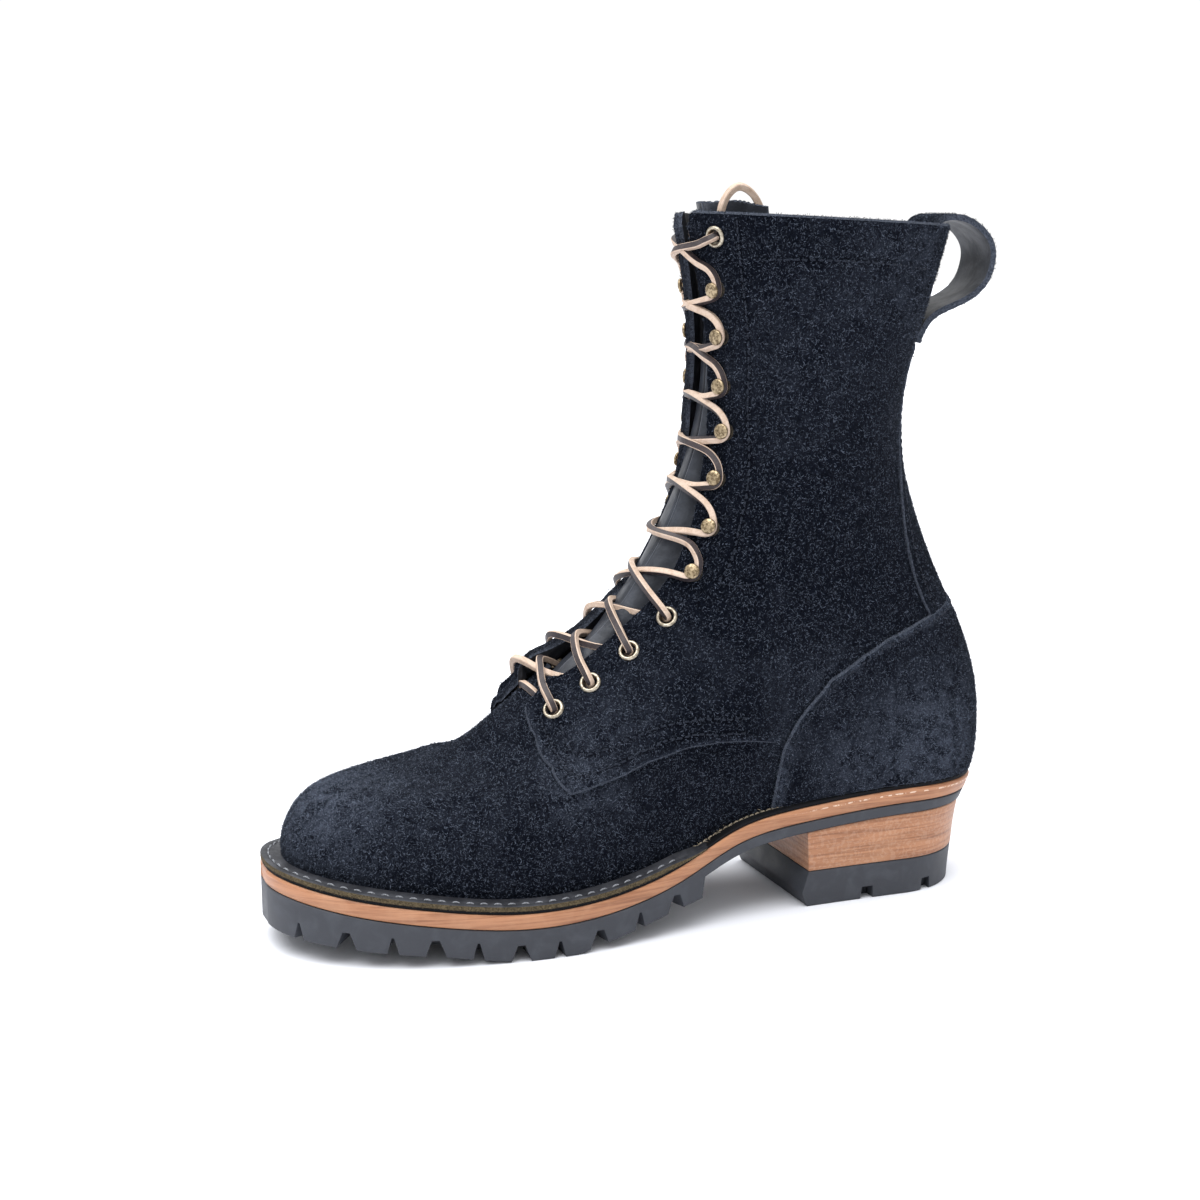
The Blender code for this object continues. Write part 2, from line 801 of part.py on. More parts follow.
def welt_loops(arounds, level, low, high, edge_margin):
    """Cross sections of a strip between the upper's foot and the sole's edge."""
    loops = []
    for around in arounds:
        along = (1 - math.cos(math.pi * abs(around))) / 2
        side = math.copysign(1.0, around)
        station = SOLE_LENGTH * (1 - along)
        outer, inner = half_widths(station)
        edge = (outer if side > 0 else inner) - edge_margin * math.sin(math.pi * abs(around))
        station = station + edge_margin * math.cos(math.pi * around) * -1.0
        wall = last_point(level, around) + last_normal(level, around) * [WALL_CLEAR, WALL_CLEAR, 0.0]
        edge_bed = float(bed_height(station))
        wall_bed = float(bed_height(wall[0]))
        loops.append(
            np.array(
                [
                    (station, side * edge, edge_bed + low),
                    (station, side * edge, edge_bed + high),
                    (wall[0], wall[1], wall_bed + high),
                    (wall[0], wall[1], wall_bed + low),
                ]
            )
        )
    return loops


def build_welt(parts, material, rand_material):
    """The welt round the forepart and the lower rand round the heel."""
    end = math.acos(1 - 2 * (1 - WELT_END / SOLE_LENGTH)) / math.pi
    outer_side = np.linspace(0.0, end, 21)
    arounds = np.concatenate([-outer_side[:0:-1], outer_side])
    arounds[arounds == 0.0] = 1e-4
    loops = welt_loops(arounds, WELT_LEVEL, GAP, GAP + WELT, WELT_MARGIN)
    loft("welt", loops, parts, material)
    start = end + RAND_START
    arounds = np.concatenate([np.linspace(start, 1.0, 18), np.linspace(-1.0, -start, 18)[1:]])
    loops = welt_loops(arounds, RAND_LEVEL, GAP, GAP + RAND, RAND_MARGIN)
    loft("heel_rand", loops, parts, rand_material)


def build_insole(parts, material):
    """The insole on the midsole, inside the upper's foot."""
    loops = []
    front = SOLE_LENGTH - TOE_MARGIN - INSOLE_INSET
    for along in end_spaced(0.012, 0.988, 30):
        _, outer, inner = feather(along)
        station = front + (HEEL_MARGIN + INSOLE_INSET - front) * along
        low = float(bed_height(station)) + INSOLE_LIFT
        share_outer = outer * (1 - INSOLE_INSET / FEATHER_OUTER * INSOLE_DRAW_OUTER)
        share_inner = inner * (1 - INSOLE_INSET / FEATHER_INNER * INSOLE_DRAW_INNER)
        loops.append(
            np.array(
                [
                    (station, share_outer, low + INSOLE),
                    (station, -share_inner, low + INSOLE),
                    (station, -share_inner, low),
                    (station, share_outer, low),
                ]
            )
        )
    return loft("insole", loops, parts, material)


FRONT_COLUMNS = np.linspace(0.0, THROAT_AROUND, 3)
FLAP_COLUMNS = np.linspace(THROAT_AROUND, FLAP_PLACES[4][1], 7)[1:]
WAIST_COLUMNS = np.linspace(FLAP_PLACES[4][1], COUNTER_FRONT, 7)[1:]
HEEL_COLUMNS = np.linspace(COUNTER_FRONT, 1.0, 9)[1:]
COLUMNS = np.concatenate([FRONT_COLUMNS, FLAP_COLUMNS, WAIST_COLUMNS, HEEL_COLUMNS])


def build_upper(parts, material, cutters):
    """The hollow upper: vamp, quarters and shaft, open at the collar, throat and foot."""
    closed = np.concatenate([-COLUMNS[-2:0:-1], COLUMNS])
    behind = COLUMNS[COLUMNS >= THROAT_AROUND - 1e-9]
    opened = np.concatenate([behind, -behind[-2::-1]])
    toe_rows = 4
    vamp_rows = 7
    shaft_rows = 12
    toe_top = np.minimum(3.4, 0.85 * flap_level(closed))
    points = []
    vamp = []
    for row in range(vamp_rows + 1):
        rise = max(row - toe_rows, 0) / (vamp_rows - toe_rows)
        level = toe_top * min(row / toe_rows, 1.0) + (flap_level(closed) - toe_top) * rise
        vamp.append(range(len(points), len(points) + len(closed)))
        points.extend(last_point(level, closed))
    edges = np.array([throat_edge(level) for level in np.linspace(THROAT_LEVEL, COLLAR, 60)])
    shaft = []
    for row in range(shaft_rows + 1):
        low = flap_level(opened)
        share = row / shaft_rows
        level = low + (COLLAR - low) * share
        edge = np.interp(level, np.linspace(THROAT_LEVEL, COLLAR, 60), edges)
        blend = smooth_share((level - THROAT_LEVEL) / 0.35)
        edge = THROAT_AROUND + (edge - THROAT_AROUND) * blend
        share_around = (np.abs(opened) - THROAT_AROUND) / (1 - THROAT_AROUND)
        around = np.where(opened >= 0, 1.0, -1.0) * (edge + (1 - edge) * share_around)
        shaft.append(range(len(points), len(points) + len(opened)))
        points.extend(skin_point(level, around))
    faces = []
    for row in range(vamp_rows):
        for place in range(len(closed)):
            after = (place + 1) % len(closed)
            low, high = vamp[row], vamp[row + 1]
            faces.append((low[place], low[after], high[after], high[place]))
    matching = [int(np.argmin(np.abs(closed - place))) for place in opened]
    rows = [[vamp[-1][place] for place in matching]] + [list(row) for row in shaft]
    for low, high in zip(rows, rows[1:]):
        for place in range(len(opened) - 1):
            faces.append((low[place], low[place + 1], high[place + 1], high[place]))
    upper = add_mesh("upper", points, faces, parts, material)
    thicken(upper, WALL, outwards=False)
    cut(upper, cutters)
    return upper


def build_counter(parts, material):
    """The counter over the heel, standing out from the upper by its own thickness."""
    columns = COLUMNS[COLUMNS > COUNTER_FRONT - 1e-9]
    around = np.concatenate([columns, -columns[-2::-1]])
    rows = []
    for share in np.linspace(0, 1, 8):
        level = COUNTER_FOOT + (counter_level(around) - COUNTER_FOOT) * share
        rows.append(skin_point(level, around, OVERLAY_GAP))
    counter = grid_sheet("counter", rows, parts, material)
    thicken(counter, OVERLAY, outwards=True)
    return counter


def side_place(level, width):
    """The place around the back where the upper is as wide as given."""
    around = np.linspace(0.5, 1.0, 400)
    side = last_point(level, around)[:, 1]
    return float(np.interp(width, side[::-1], around[::-1]))


def build_backstay(parts, material):
    """The strip up the back seam, from the counter to the pull loop."""
    rows = []
    for level in np.linspace(BACKSTAY[0].level, BACKSTAY[-1].level, 8):
        edge = side_place(level, float(backstay_width(level)))
        half = np.linspace(edge, 1.0, 6)
        around = np.concatenate([half, -half[-2::-1]])
        rows.append(skin_point(np.full_like(around, level), around, OVERLAY_GAP))
    backstay = grid_sheet("backstay", rows, parts, material)
    thicken(backstay, OVERLAY, outwards=True)
    return backstay


def build_tongue(parts, material):
    """The tongue behind the throat, a little above the collar."""
    rows = []
    below, above = TONGUE_ENDS
    for level in np.linspace(THROAT_LEVEL + below, COLLAR + above, 15):
        edge = throat_edge(min(level, COLLAR))
        wide = max(edge + TONGUE_WIDE, TONGUE_WIDE_LEAST)
        half = np.array([0.0, edge * 0.5, edge * 0.86, edge * 1.06, (edge + wide) / 2, wide])
        bulge = np.array([1.0, 0.85, 0.0, 0.0, 0.0, 0.0]) * min(1.0, edge / FULL_THROAT) * TONGUE_BULGE
        around = np.concatenate([-half[:0:-1], half])
        depth = TONGUE_INSIDE - np.concatenate([bulge[:0:-1], bulge])
        points = last_point(np.full_like(around, level), around)
        rows.append(points - last_normal(np.full_like(around, level), around) * depth[:, None])
    tongue = grid_sheet("tongue", rows, parts, material)
    thicken(tongue, TONGUE, outwards=False)
    return tongue


def ribbon_sides(path, half):
    """Left and right rims of a ribbon about a path of stations and heights."""
    path = np.array(path, float)
    along = np.gradient(path, axis=0)
    along /= np.linalg.norm(along, axis=1, keepdims=True)
    across = np.stack([-along[:, 1], along[:, 0]], 1)
    return path + across * half, path - across * half


def build_pull_loop(parts, material):
    """The strap over the collar's back that forms the pull loop."""
    rim, face = ribbon_sides([(row.station, row.height) for row in STRAP_PATH], STRAP / 2)
    loops = []
    across = np.array([1.0, 0.5, 0.0, -0.5, -1.0])
    for outside, inside, row in zip(rim, face, STRAP_PATH):
        bow = row.bow * across**2
        side = across * STRAP_WIDTH / 2
        back = np.stack([outside[0] + bow, side, np.full(5, outside[1])], 1)
        front = np.stack([inside[0] + bow, side, np.full(5, inside[1])], 1)
        loops.append(np.concatenate([back, front[::-1]]))
    return loft("pull_loop", loops, parts, material)


def turned(name, profile, steps, collection, material):
    """A turned piece from a profile of radius and height about its own axis."""
    mesh = bpy.data.meshes.new(name)
    points = [(radius * MM, 0.0, height * MM) for radius, height in profile]
    edges = [(row, row + 1) for row in range(len(points) - 1)]
    mesh.from_pydata(points, edges, [])
    mesh.materials.append(material)
    obj = bpy.data.objects.new(name, mesh)
    collection.objects.link(obj)
    screw = obj.modifiers.new("Turn", "SCREW")
    screw.steps = steps
    screw.render_steps = steps
    screw.use_merge_vertices = True
    screw.merge_threshold = 0.00001
    screw.use_normal_calculate = True
    screw.use_normal_flip = True
    return obj


def stand_on(obj, level, around, clear):
    """Sets a turned piece on the upper with its axis along the outward direction."""
    point = skin_point(np.array(level), np.array(around), clear)
    normal = Vector(last_normal(level, around))
    turn = normal.to_track_quat("Z", "Y").to_matrix().to_4x4()
    obj.matrix_world = Matrix.Translation(Vector(to_frame(point))) @ turn


EYELET_PROFILE = (
    (EYELET_HOLE, -WALL),
    (EYELET_BARREL - 0.35, -WALL),
    (EYELET_BARREL - 0.35, 0.0),
    (EYELET_FLANGE, 0.0),
    (EYELET_FLANGE - 0.5, EYELET_THICK * 0.8),
    (EYELET_BARREL, EYELET_THICK),
    (EYELET_HOLE, EYELET_THICK * 0.5),
    (EYELET_HOLE, -WALL),
)
HOOK_PROFILE = (
    (0.0, 0.0),
    (HOOK_BASE, 0.0),
    (HOOK_BASE - 0.4, 0.9),
    (HOOK_NECK, 1.1),
    (HOOK_NECK, HOOK_HEIGHT - 1.4),
    (HOOK_HEAD, HOOK_HEIGHT - 1.1),
    (HOOK_HEAD - 0.4, HOOK_HEIGHT - 0.2),
    (0.0, HOOK_HEIGHT),
)


def build_hardware(parts, eyelet_material, hook_material, cutters):
    """Eyelets through the upper and hooks on it, both sides."""
    for row, (level, around) in zip(LACING, LACING_PLACES):
        for side, name in ((1, "outer"), (-1, "inner")):
            number = LACING.index(row) + 1
            if row.hook:
                hook = turned(f"hook_{name}_{number:02d}", HOOK_PROFILE, 6, parts, hook_material)
                back = around if side > 0 else around + INNER_HOOK_BACK
                stand_on(hook, level, side * back, HARDWARE_GAP)
                continue
            label = f"eyelet_{name}_{number:02d}"
            eyelet = turned(label, EYELET_PROFILE, 8, parts, eyelet_material)
            stand_on(eyelet, level, side * around, HARDWARE_GAP)
            bpy.ops.mesh.primitive_cylinder_add(
                vertices=10, radius=EYELET_BARREL * MM, depth=HOLE_LENGTH * MM
            )
            hole = bpy.context.object
            hole.name = f"hole_{name}_{number:02d}"
            move_to(hide_cutter(hole), cutters)
            stand_on(hole, level, side * around, HARDWARE_GAP)


def lace_tube(name, points, collection, material):
    """A square lace along a path of millimetre points, as a mesh."""
    curve = bpy.data.curves.new(name, "CURVE")
    curve.dimensions = "3D"
    curve.bevel_depth = LACE / 2 * MM * math.sqrt(2) * LACE_SQUARE
    curve.bevel_resolution = 0
    curve.use_fill_caps = True
    path = curve.splines.new("POLY")
    path.points.add(len(points) - 1)
    for place, point in zip(path.points, to_frame(points)):
        place.co = (*point, 1.0)
    helper = bpy.data.objects.new(f"{name}_path", curve)
    collection.objects.link(helper)
    graph = bpy.context.evaluated_depsgraph_get()
    mesh = bpy.data.meshes.new_from_object(helper.evaluated_get(graph))
    bpy.data.objects.remove(helper)
    mesh.materials.clear()
    mesh.materials.append(material)
    obj = bpy.data.objects.new(name, mesh)
    collection.objects.link(obj)
    shape = bmesh.new()
    shape.from_mesh(mesh)
    bmesh.ops.remove_doubles(shape, verts=shape.verts, dist=0.00001)
    bmesh.ops.recalc_face_normals(shape, faces=shape.faces)
    shape.to_mesh(mesh)
    shape.free()
    return obj


def strand_points(low, high, side, short, clear):
    """A lace's path over the throat, from a station on one side to the next on the other."""
    share = np.linspace(0, 1, 60)
    level = low[0] + (high[0] - low[0]) * share
    around = side * (low[1] + (-high[1] - low[1]) * share)
    lift = clear + LACE_RISE * np.sin(math.pi * share)
    step = np.array([float(flap_step(a, b)) for a, b in zip(level, around)])
    step = np.maximum(step, step[::-1])
    points = last_point(level, around)
    points = points + last_normal(level, around) * (lift + step)[:, None]
    length = np.concatenate([[0], np.cumsum(np.linalg.norm(np.diff(points, axis=0), axis=1))])
    wanted = np.linspace(short, length[-1] - short, 7)
    return np.stack([np.interp(wanted, length, points[:, axis]) for axis in range(3)], 1)


def build_lace(parts, material, cutters):
    """The lace's crossings over the throat, its lowest bar and the loop above the collar."""
    for number in range(len(LACING) - 1):
        low, high = LACING_PLACES[number], LACING_PLACES[number + 1]
        short = LACE_SHORT if LACING[number].hook else LACE_SHORT + EYELET_SHORT
        clear = LACE_CLEAR - LACE_CLEAR_FALL * number
        points = strand_points(low, high, 1, short, clear)
        other = strand_points(low, high, -1, short, clear)
        middle = (points[3] + other[3]) / 2
        points[3] = middle
        other[3] = middle
        crossing = lace_tube(f"lace_crossing_{number + 1:02d}", points, parts, material)
        strand = lace_tube(f"lace_strand_{number + 1:02d}", other, cutters, material)
        hide_cutter(strand)
        join = crossing.modifiers.new("Join", "BOOLEAN")
        join.operation = "UNION"
        join.solver = "EXACT"
        join.object = strand
    around = np.linspace(-BAR_HALF, BAR_HALF, 5)
    level = np.full_like(around, BAR_LEVEL)
    bar = last_point(level, around) + last_normal(level, around) * BAR_CLEAR
    lace_tube("lace_bar", bar, parts, material)
    path = np.array([(row.station, row.side, row.height) for row in LACE_LOOP])
    lace_tube("lace_loop", path, parts, material)


def main():
    for obj in list(bpy.data.objects):
        bpy.data.objects.remove(obj)
    parts = new_collection("suede_boot")
    cutters = new_collection("cutters")
    tread_cutters = bpy.data.collections.new("tread_cutters")
    lift_cutters = bpy.data.collections.new("lift_cutters")
    hole_cutters = bpy.data.collections.new("hole_cutters")
    lace_helpers = bpy.data.collections.new("lace_helpers")
    for helper in (tread_cutters, lift_cutters, hole_cutters, lace_helpers):
        cutters.children.link(helper)
    suede = new_material("suede", (0.030, 0.032, 0.040), 0.95)
    smooth = new_material("tongue_leather", (0.055, 0.058, 0.066), 0.5)
    rubber = new_material("black_rubber", (0.035, 0.036, 0.040), 0.6)
    tan = new_material("tan_leather", (0.47, 0.23, 0.10), 0.55)
    insole = new_material("insole_leather", (0.40, 0.27, 0.17), 0.7)
    welt = new_material("welt_leather", (0.060, 0.046, 0.034), 0.6)
    brass = new_material("antique_brass", (0.42, 0.34, 0.20), 0.4, 0.9)
    nickel = new_material("pale_brass", (0.60, 0.54, 0.42), 0.35, 0.9)
    lace = new_material("rawhide_lace", (0.55, 0.42, 0.31), 0.7)
    build_outsole(parts, rubber, tread_cutters)
    build_midsole(parts, tan)
    build_heel(parts, tan, rubber, lift_cutters)
    build_welt(parts, welt, rubber)
    build_insole(parts, insole)
    build_upper(parts, suede, hole_cutters)
    build_counter(parts, suede)
    build_backstay(parts, suede)
    build_tongue(parts, smooth)
    build_pull_loop(parts, smooth)
    build_hardware(parts, nickel, brass, hole_cutters)
    build_lace(parts, lace, lace_helpers)


main()
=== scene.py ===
"""A left lace-up boot of rough suede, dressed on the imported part's frame.

Stations run along the foot from the heel's back to the toe and heights rise from the floor, both in
millimetres. Side is positive on the outer side of the foot. Level and around name a place on the upper:
level rises from the feather line (0) to the collar, around runs from the front (0) to the back (1) and is
positive on the outer side.
"""

import json
import logging
import math
from collections.abc import Callable, Sequence
from dataclasses import dataclass, field
from enum import Enum
from itertools import starmap
from typing import NamedTuple

import bmesh
import bpy
import numpy as np
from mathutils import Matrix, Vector
from mathutils.kdtree import KDTree

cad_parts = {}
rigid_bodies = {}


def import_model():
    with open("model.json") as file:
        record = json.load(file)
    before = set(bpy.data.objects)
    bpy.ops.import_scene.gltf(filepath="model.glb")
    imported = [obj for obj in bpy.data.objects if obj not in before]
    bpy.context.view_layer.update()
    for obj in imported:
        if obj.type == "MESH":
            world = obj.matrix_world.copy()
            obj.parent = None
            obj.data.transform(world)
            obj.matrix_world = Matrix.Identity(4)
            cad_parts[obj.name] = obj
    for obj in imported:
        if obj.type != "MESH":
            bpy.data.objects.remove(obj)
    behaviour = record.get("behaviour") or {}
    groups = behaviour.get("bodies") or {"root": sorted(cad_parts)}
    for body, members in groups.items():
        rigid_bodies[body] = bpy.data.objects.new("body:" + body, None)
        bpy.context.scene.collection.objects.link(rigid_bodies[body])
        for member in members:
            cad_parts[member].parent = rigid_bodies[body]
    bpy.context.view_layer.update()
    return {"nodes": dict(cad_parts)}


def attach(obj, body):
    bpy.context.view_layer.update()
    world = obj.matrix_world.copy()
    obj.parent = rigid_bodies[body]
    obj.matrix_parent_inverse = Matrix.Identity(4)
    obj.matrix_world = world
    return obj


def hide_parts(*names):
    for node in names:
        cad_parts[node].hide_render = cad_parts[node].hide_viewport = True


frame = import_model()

Array = np.ndarray
Curve = Callable[[Array], Array]
Triple = tuple[float, float, float]
Colour = Triple
Pairs = Sequence[tuple[float, float]]
Material = bpy.types.Material
Piece = bpy.types.Object
Socket = bpy.types.NodeSocket

MM = 0.001
ROOT = "root"
log = logging.getLogger("boot")


class Slot(Enum):
    """The record's material slots, passed along with each new piece."""

    SUEDE = "suede"
    TONGUE = "tongue_leather"
    RUBBER = "black_rubber"
    TAN = "tan_leather"
    WELT = "welt_leather"
    HOOK = "antique_brass"
    EYELET = "pale_brass"
    LACE = "rawhide_lace"


class Side(Enum):
    """The two sides of the foot."""

    OUTER = 1
    INNER = -1

    @property
    def label(self) -> str:
        """The side's plain name."""
        return self.name.lower()

    @property
    def column(self) -> int:
        """The side's place in a pair of half widths."""
        return 0 if self is Side.OUTER else 1


class LastRow(NamedTuple):
    """One level of the upper, from its front point to its back point."""

    front_station: float
    front_height: float
    back_station: float
    back_height: float
    outer: float
    inner: float
    widest: float
    nose: float
    heel: float
    foot_share: float
    bed_share: float


class LacingRow(NamedTuple):
    """An eyelet or a hook, as seen from the side."""

    station: float
    height: float
    hook: bool


class HeelRow(NamedTuple):
    """The heel's outline at a share of its height."""

    share: float
    back: float
    side: float
    breast: float


class Spot(NamedTuple):
    """A patch of the upper where the nap is lighter: rubbed nap, and on the toe's top a painted highlight."""

    station: float
    side: float
    height: float
    radius: float
    strength: float


class Fold(NamedTuple):
    """A soft trough (negative) or ridge of the upper along a line seen from the side."""

    start: tuple[float, float]
    stop: tuple[float, float]
    width: float
    depth: float


# The sole: station, outer and inner half widths, and the ledge outside the upper.
OUTLINE = (
    (0, 37.5, 38.0, 2.0), (30, 38.2, 39.5, 2.0), (58, 38.4, 37.5, 2.5), (88, 39.2, 33.5, 4.0),
    (118, 41.4, 33.0, 5.5), (152, 48.3, 41.0, 8.0), (188, 55.8, 51.5, 8.5), (214, 57.0, 54.5, 8.5),
    (252, 52.7, 54.0, 9.0), (290, 47.5, 51.0, 9.0), (312, 44.4, 49.0, 9.0),
)
# Station and height of the midsole's top, and of the lugs' feet.
BED = (
    (0, 46.6), (40, 47.2), (78, 45.2), (100, 43.2), (125, 38.7), (150, 28.8),
    (172, 23.0), (200, 19.5), (225, 19.3), (255, 22.6), (285, 26.8), (312, 32.0),
)
TREAD = (
    (142, 12.8), (165, 7.6), (181, 4.0), (199, 0.0), (224, 0.0), (251, 4.0), (288, 7.2), (312, 9.4),
)
# Station of each notch in the tread's edge, and whether it is a wide one.
NOTCHES = (
    (303.5, False), (288.0, True), (271.6, False), (255.9, True), (239.6, False),
    (222.8, True), (207.0, False), (189.9, True), (171.8, False), (154.5, True),
)
# A notch's width at its foot and at its head, and how far in it reaches.
WIDE_NOTCH = (8.4, 3.0, 17.0)
NARROW_NOTCH = (4.8, 1.0, 14.0)
LAST = tuple(starmap(LastRow, (
    (303.0, 31.1, 2.0, 47.5, 48.5, 46.0, 0.40, 2.40, 2.2, 1.00, 1.00),
    (303.6, 41.0, -0.2, 57.0, 50.0, 47.5, 0.40, 2.40, 2.2, 0.97, 0.95),
    (300.0, 51.0, -1.0, 69.0, 50.0, 47.0, 0.41, 2.40, 2.2, 0.90, 0.80),
    (292.0, 59.0, -0.9, 82.0, 48.0, 45.5, 0.43, 2.40, 2.2, 0.75, 0.60),
    (277.5, 62.5, 1.5, 96.0, 45.5, 43.5, 0.47, 2.30, 2.1, 0.55, 0.40),
    (256.0, 63.8, 6.9, 111.0, 43.5, 41.5, 0.53, 2.10, 2.1, 0.35, 0.22),
    (234.2, 70.8, 14.6, 127.0, 42.0, 40.0, 0.58, 2.00, 2.0, 0.20, 0.10),
    (214.5, 84.5, 22.7, 144.0, 40.5, 39.0, 0.61, 1.90, 2.0, 0.08, 0.00),
    (192.3, 101.9, 30.0, 162.0, 39.5, 38.0, 0.61, 1.80, 2.0, 0.00, 0.00),
    (170.2, 120.0, 35.6, 180.0, 38.5, 37.5, 0.59, 1.80, 2.0, 0.00, 0.00),
    (152.2, 142.9, 38.0, 198.0, 38.0, 37.2, 0.56, 1.85, 2.0, 0.00, 0.00),
    (137.1, 170.5, 36.7, 216.0, 38.5, 37.8, 0.53, 1.90, 2.0, 0.00, 0.00),
    (128.0, 203.3, 31.8, 235.0, 40.5, 40.0, 0.51, 2.00, 2.0, 0.00, 0.00),
    (126.8, 242.6, 24.6, 256.0, 43.5, 43.0, 0.50, 2.00, 2.0, 0.00, 0.00),
    (134.0, 286.0, 17.4, 280.0, 47.0, 46.5, 0.50, 2.00, 2.0, 0.00, 0.00),
)))
# Height and half the gap between the facings.
THROAT = (
    (90, 13.4), (112, 14.2), (122, 14.6), (134, 17.6), (145, 18.6), (165, 16.2),
    (183, 12.4), (199, 10.2), (219, 7.4), (241, 5.2), (265, 2.8), (290, 2.2),
)
# Level, and how far the inner facing's edge flares.
FAR_FLARE = ((7.5, 0.0), (7.6, 2.6), (9.2, 2.4), (9.7, 0.0), (11.2, 0.0), (12.1, 3.4), (14.0, 3.8))
# Edges seen from the side, by station and height.
FLAP_EDGE = (
    (204.4, 88.6), (205.6, 84.5), (205.1, 80.8), (203.0, 71.2), (198.7, 62.2), (176.4, 68.6),
    (166.6, 72.3), (148.5, 76.9), (134.2, 76.8), (122.1, 76.1), (104.0, 72.0),
)
COUNTER_EDGE = (
    (99.4, 79.5), (95.7, 83.4), (82.6, 97.2), (68.4, 105.1), (55.4, 111.2), (37.1, 116.6), (14.5, 122.7),
)
LACING = tuple(starmap(LacingRow, (
    (196.6, 89.7, False), (181.8, 100.3, False), (165.8, 112.9, False), (150.2, 126.1, False),
    (138.3, 143.3, True), (130.4, 161.1, True), (126.2, 180.3, True), (122.6, 199.2, True),
    (122.5, 217.2, True), (123.0, 237.2, True), (125.0, 256.1, True), (127.6, 276.7, False),
)))
# Level and place around of the quarters' lower edge behind the flap, under the counter.
FLAP_BEHIND = ((2.4, 0.75), (2.3, 1.0))
# Level and half width.
BACKSTAY = ((5.3, 26.0), (6.05, 26.0), (7.7, 25.0), (8.6, 21.5), (9.6, 16.0), (10.6, 13.0), (11.9, 12.5))
STACK = tuple(starmap(HeelRow, (
    (0.00, 8.3, 1.6, 90.5), (0.35, 7.6, 1.3, 90.8), (0.70, 6.6, 1.0, 91.2), (1.00, 5.3, 0.8, 91.6),
)))
LIFT_ROWS = tuple(starmap(HeelRow, (
    (0.00, 9.6, 2.6, 90.6), (0.40, 9.2, 2.2, 93.0), (1.00, 8.5, 1.7, 90.5),
)))
STACK_SEAMS = (0.36, 0.70)
# Station and width.
LIFT_NOTCHES = ((62.0, 5.6), (33.0, 4.6))
CROSS_CHANNELS = (264.0, 236.0, 208.0, 181.0)
# Share from the sole's edge to the wall, and height over the midsole.
RAND_SECTION = ((0.10, 0.0), (0.05, 0.5), (0.12, 1.3), (0.45, 1.6), (1.0, 1.8), (1.0, 0.0))
FLAP_SEAM_INSETS = (3.6, 9.4)
# Turned profiles: radius and height over the skin.
EYELET_PROFILE = (
    (2.85, -2.6), (2.85, 0.2), (2.95, 0.55), (3.25, 0.9), (3.65, 0.98), (4.05, 0.8),
    (4.38, 0.42), (4.46, 0.05), (4.3, -0.1), (3.1, -0.1), (3.05, -2.6), (2.85, -2.6),
)
WASHER_PROFILE = (
    (0.0, -0.1), (3.5, -0.1), (3.6, 0.1), (3.45, 0.38), (3.0, 0.52), (2.0, 0.58), (1.4, 0.8), (0.0, 0.8),
)
HOOK_PROFILE = (
    (0.0, 0.6), (1.15, 0.6), (1.15, 3.1), (2.0, 3.25), (2.85, 3.32), (3.14, 3.5),
    (3.2, 3.85), (3.08, 4.25), (2.75, 4.5), (2.1, 4.68), (1.2, 4.78), (0.0, 4.8),
)
EYELET_HOLE = ((3.05, -8.0), (3.05, 4.0))
# The lace's start under the throat: stations up, share across, and millimetres above the skin.
LACE_START = ((-0.02, 0.2, -2.2), (-0.02, 0.5, -3.2))
# The lace near a station: millimetres out, up and above the skin.
UP_THROUGH_EYELET = ((-0.6, -0.3, -3.0), (0.1, 0.1, -0.6), (-0.6, 0.5, 1.6), (-3.6, 1.5, 2.2))
ROUND_HOOK = (
    (-10.0, -5.0, 1.7), (-3.4, -3.7, 2.0), (-0.4, -2.8, 2.0), (1.3, -0.8, 2.0),
    (1.3, 1.9, 2.0), (0.1, 5.2, 1.9), (-2.9, 8.3, 1.8), (-8.2, 10.6, 1.8),
)
INTO_TOP_EYELET = (
    (-8.5, -2.4, 1.8), (-3.4, -1.0, 2.2), (-0.5, -0.1, 1.1),
    (0.3, 0.1, -2.0), (1.0, -3.0, -5.4), (1.0, -12.0, -6.0),
)
# The material number of each face round the lace.
LACE_FACES = (0, 0, 1, 0, 0, 0, 0, 0)
# How far on to the next station the lace crosses, where that isn't half way.
CROSSINGS = {4: 0.47, 5: 0.74, 6: 0.63, 7: 0.76, 8: 0.75, 9: 0.66, 10: 0.80}
# How many fibres, and the seed of their scatter.
FIBRES = {
    "welt_fuzz": (5200, 21), "vamp_nap": (62000, 11),
    "quarter_outer_nap": (66000, 13), "quarter_outer_fray": (7600, 18),
    "quarter_inner_nap": (48000, 11), "quarter_inner_fray": (7600, 16),
    "counter_nap": (27000, 14), "counter_fray": (2600, 19),
    "backstay_nap": (9000, 15), "pull_strap_nap": (5400, 32),
}
# Station, height, and how far the strap's rims bend forward.
STRAP_PATH = (
    (28.1, 259.0, 2.5), (24.3, 272.0, 2.4), (22.6, 279.4, 2.3), (20.6, 283.0, 2.0), (16.0, 284.2, 1.0),
    (10.0, 283.0, 0.0), (4.0, 279.8, 0.0), (-0.6, 275.2, 0.0), (-2.7, 269.7, 0.0), (-2.0, 263.3, 0.0),
    (0.8, 257.0, 0.0), (6.7, 251.8, 0.0), (14.5, 248.2, 0.0), (21.6, 245.0, 0.8), (26.0, 240.8, 1.8),
    (29.8, 232.6, 2.4),
)
# Station, side and height.
LACE_LOOP = (
    (121.0, 12.8, 274.0), (122.9, 13.2, 287.0), (119.4, 13.4, 294.0), (115.6, 13.6, 296.3),
    (111.2, 13.6, 294.8), (106.4, 13.2, 289.0), (103.2, 12.8, 275.0),
)
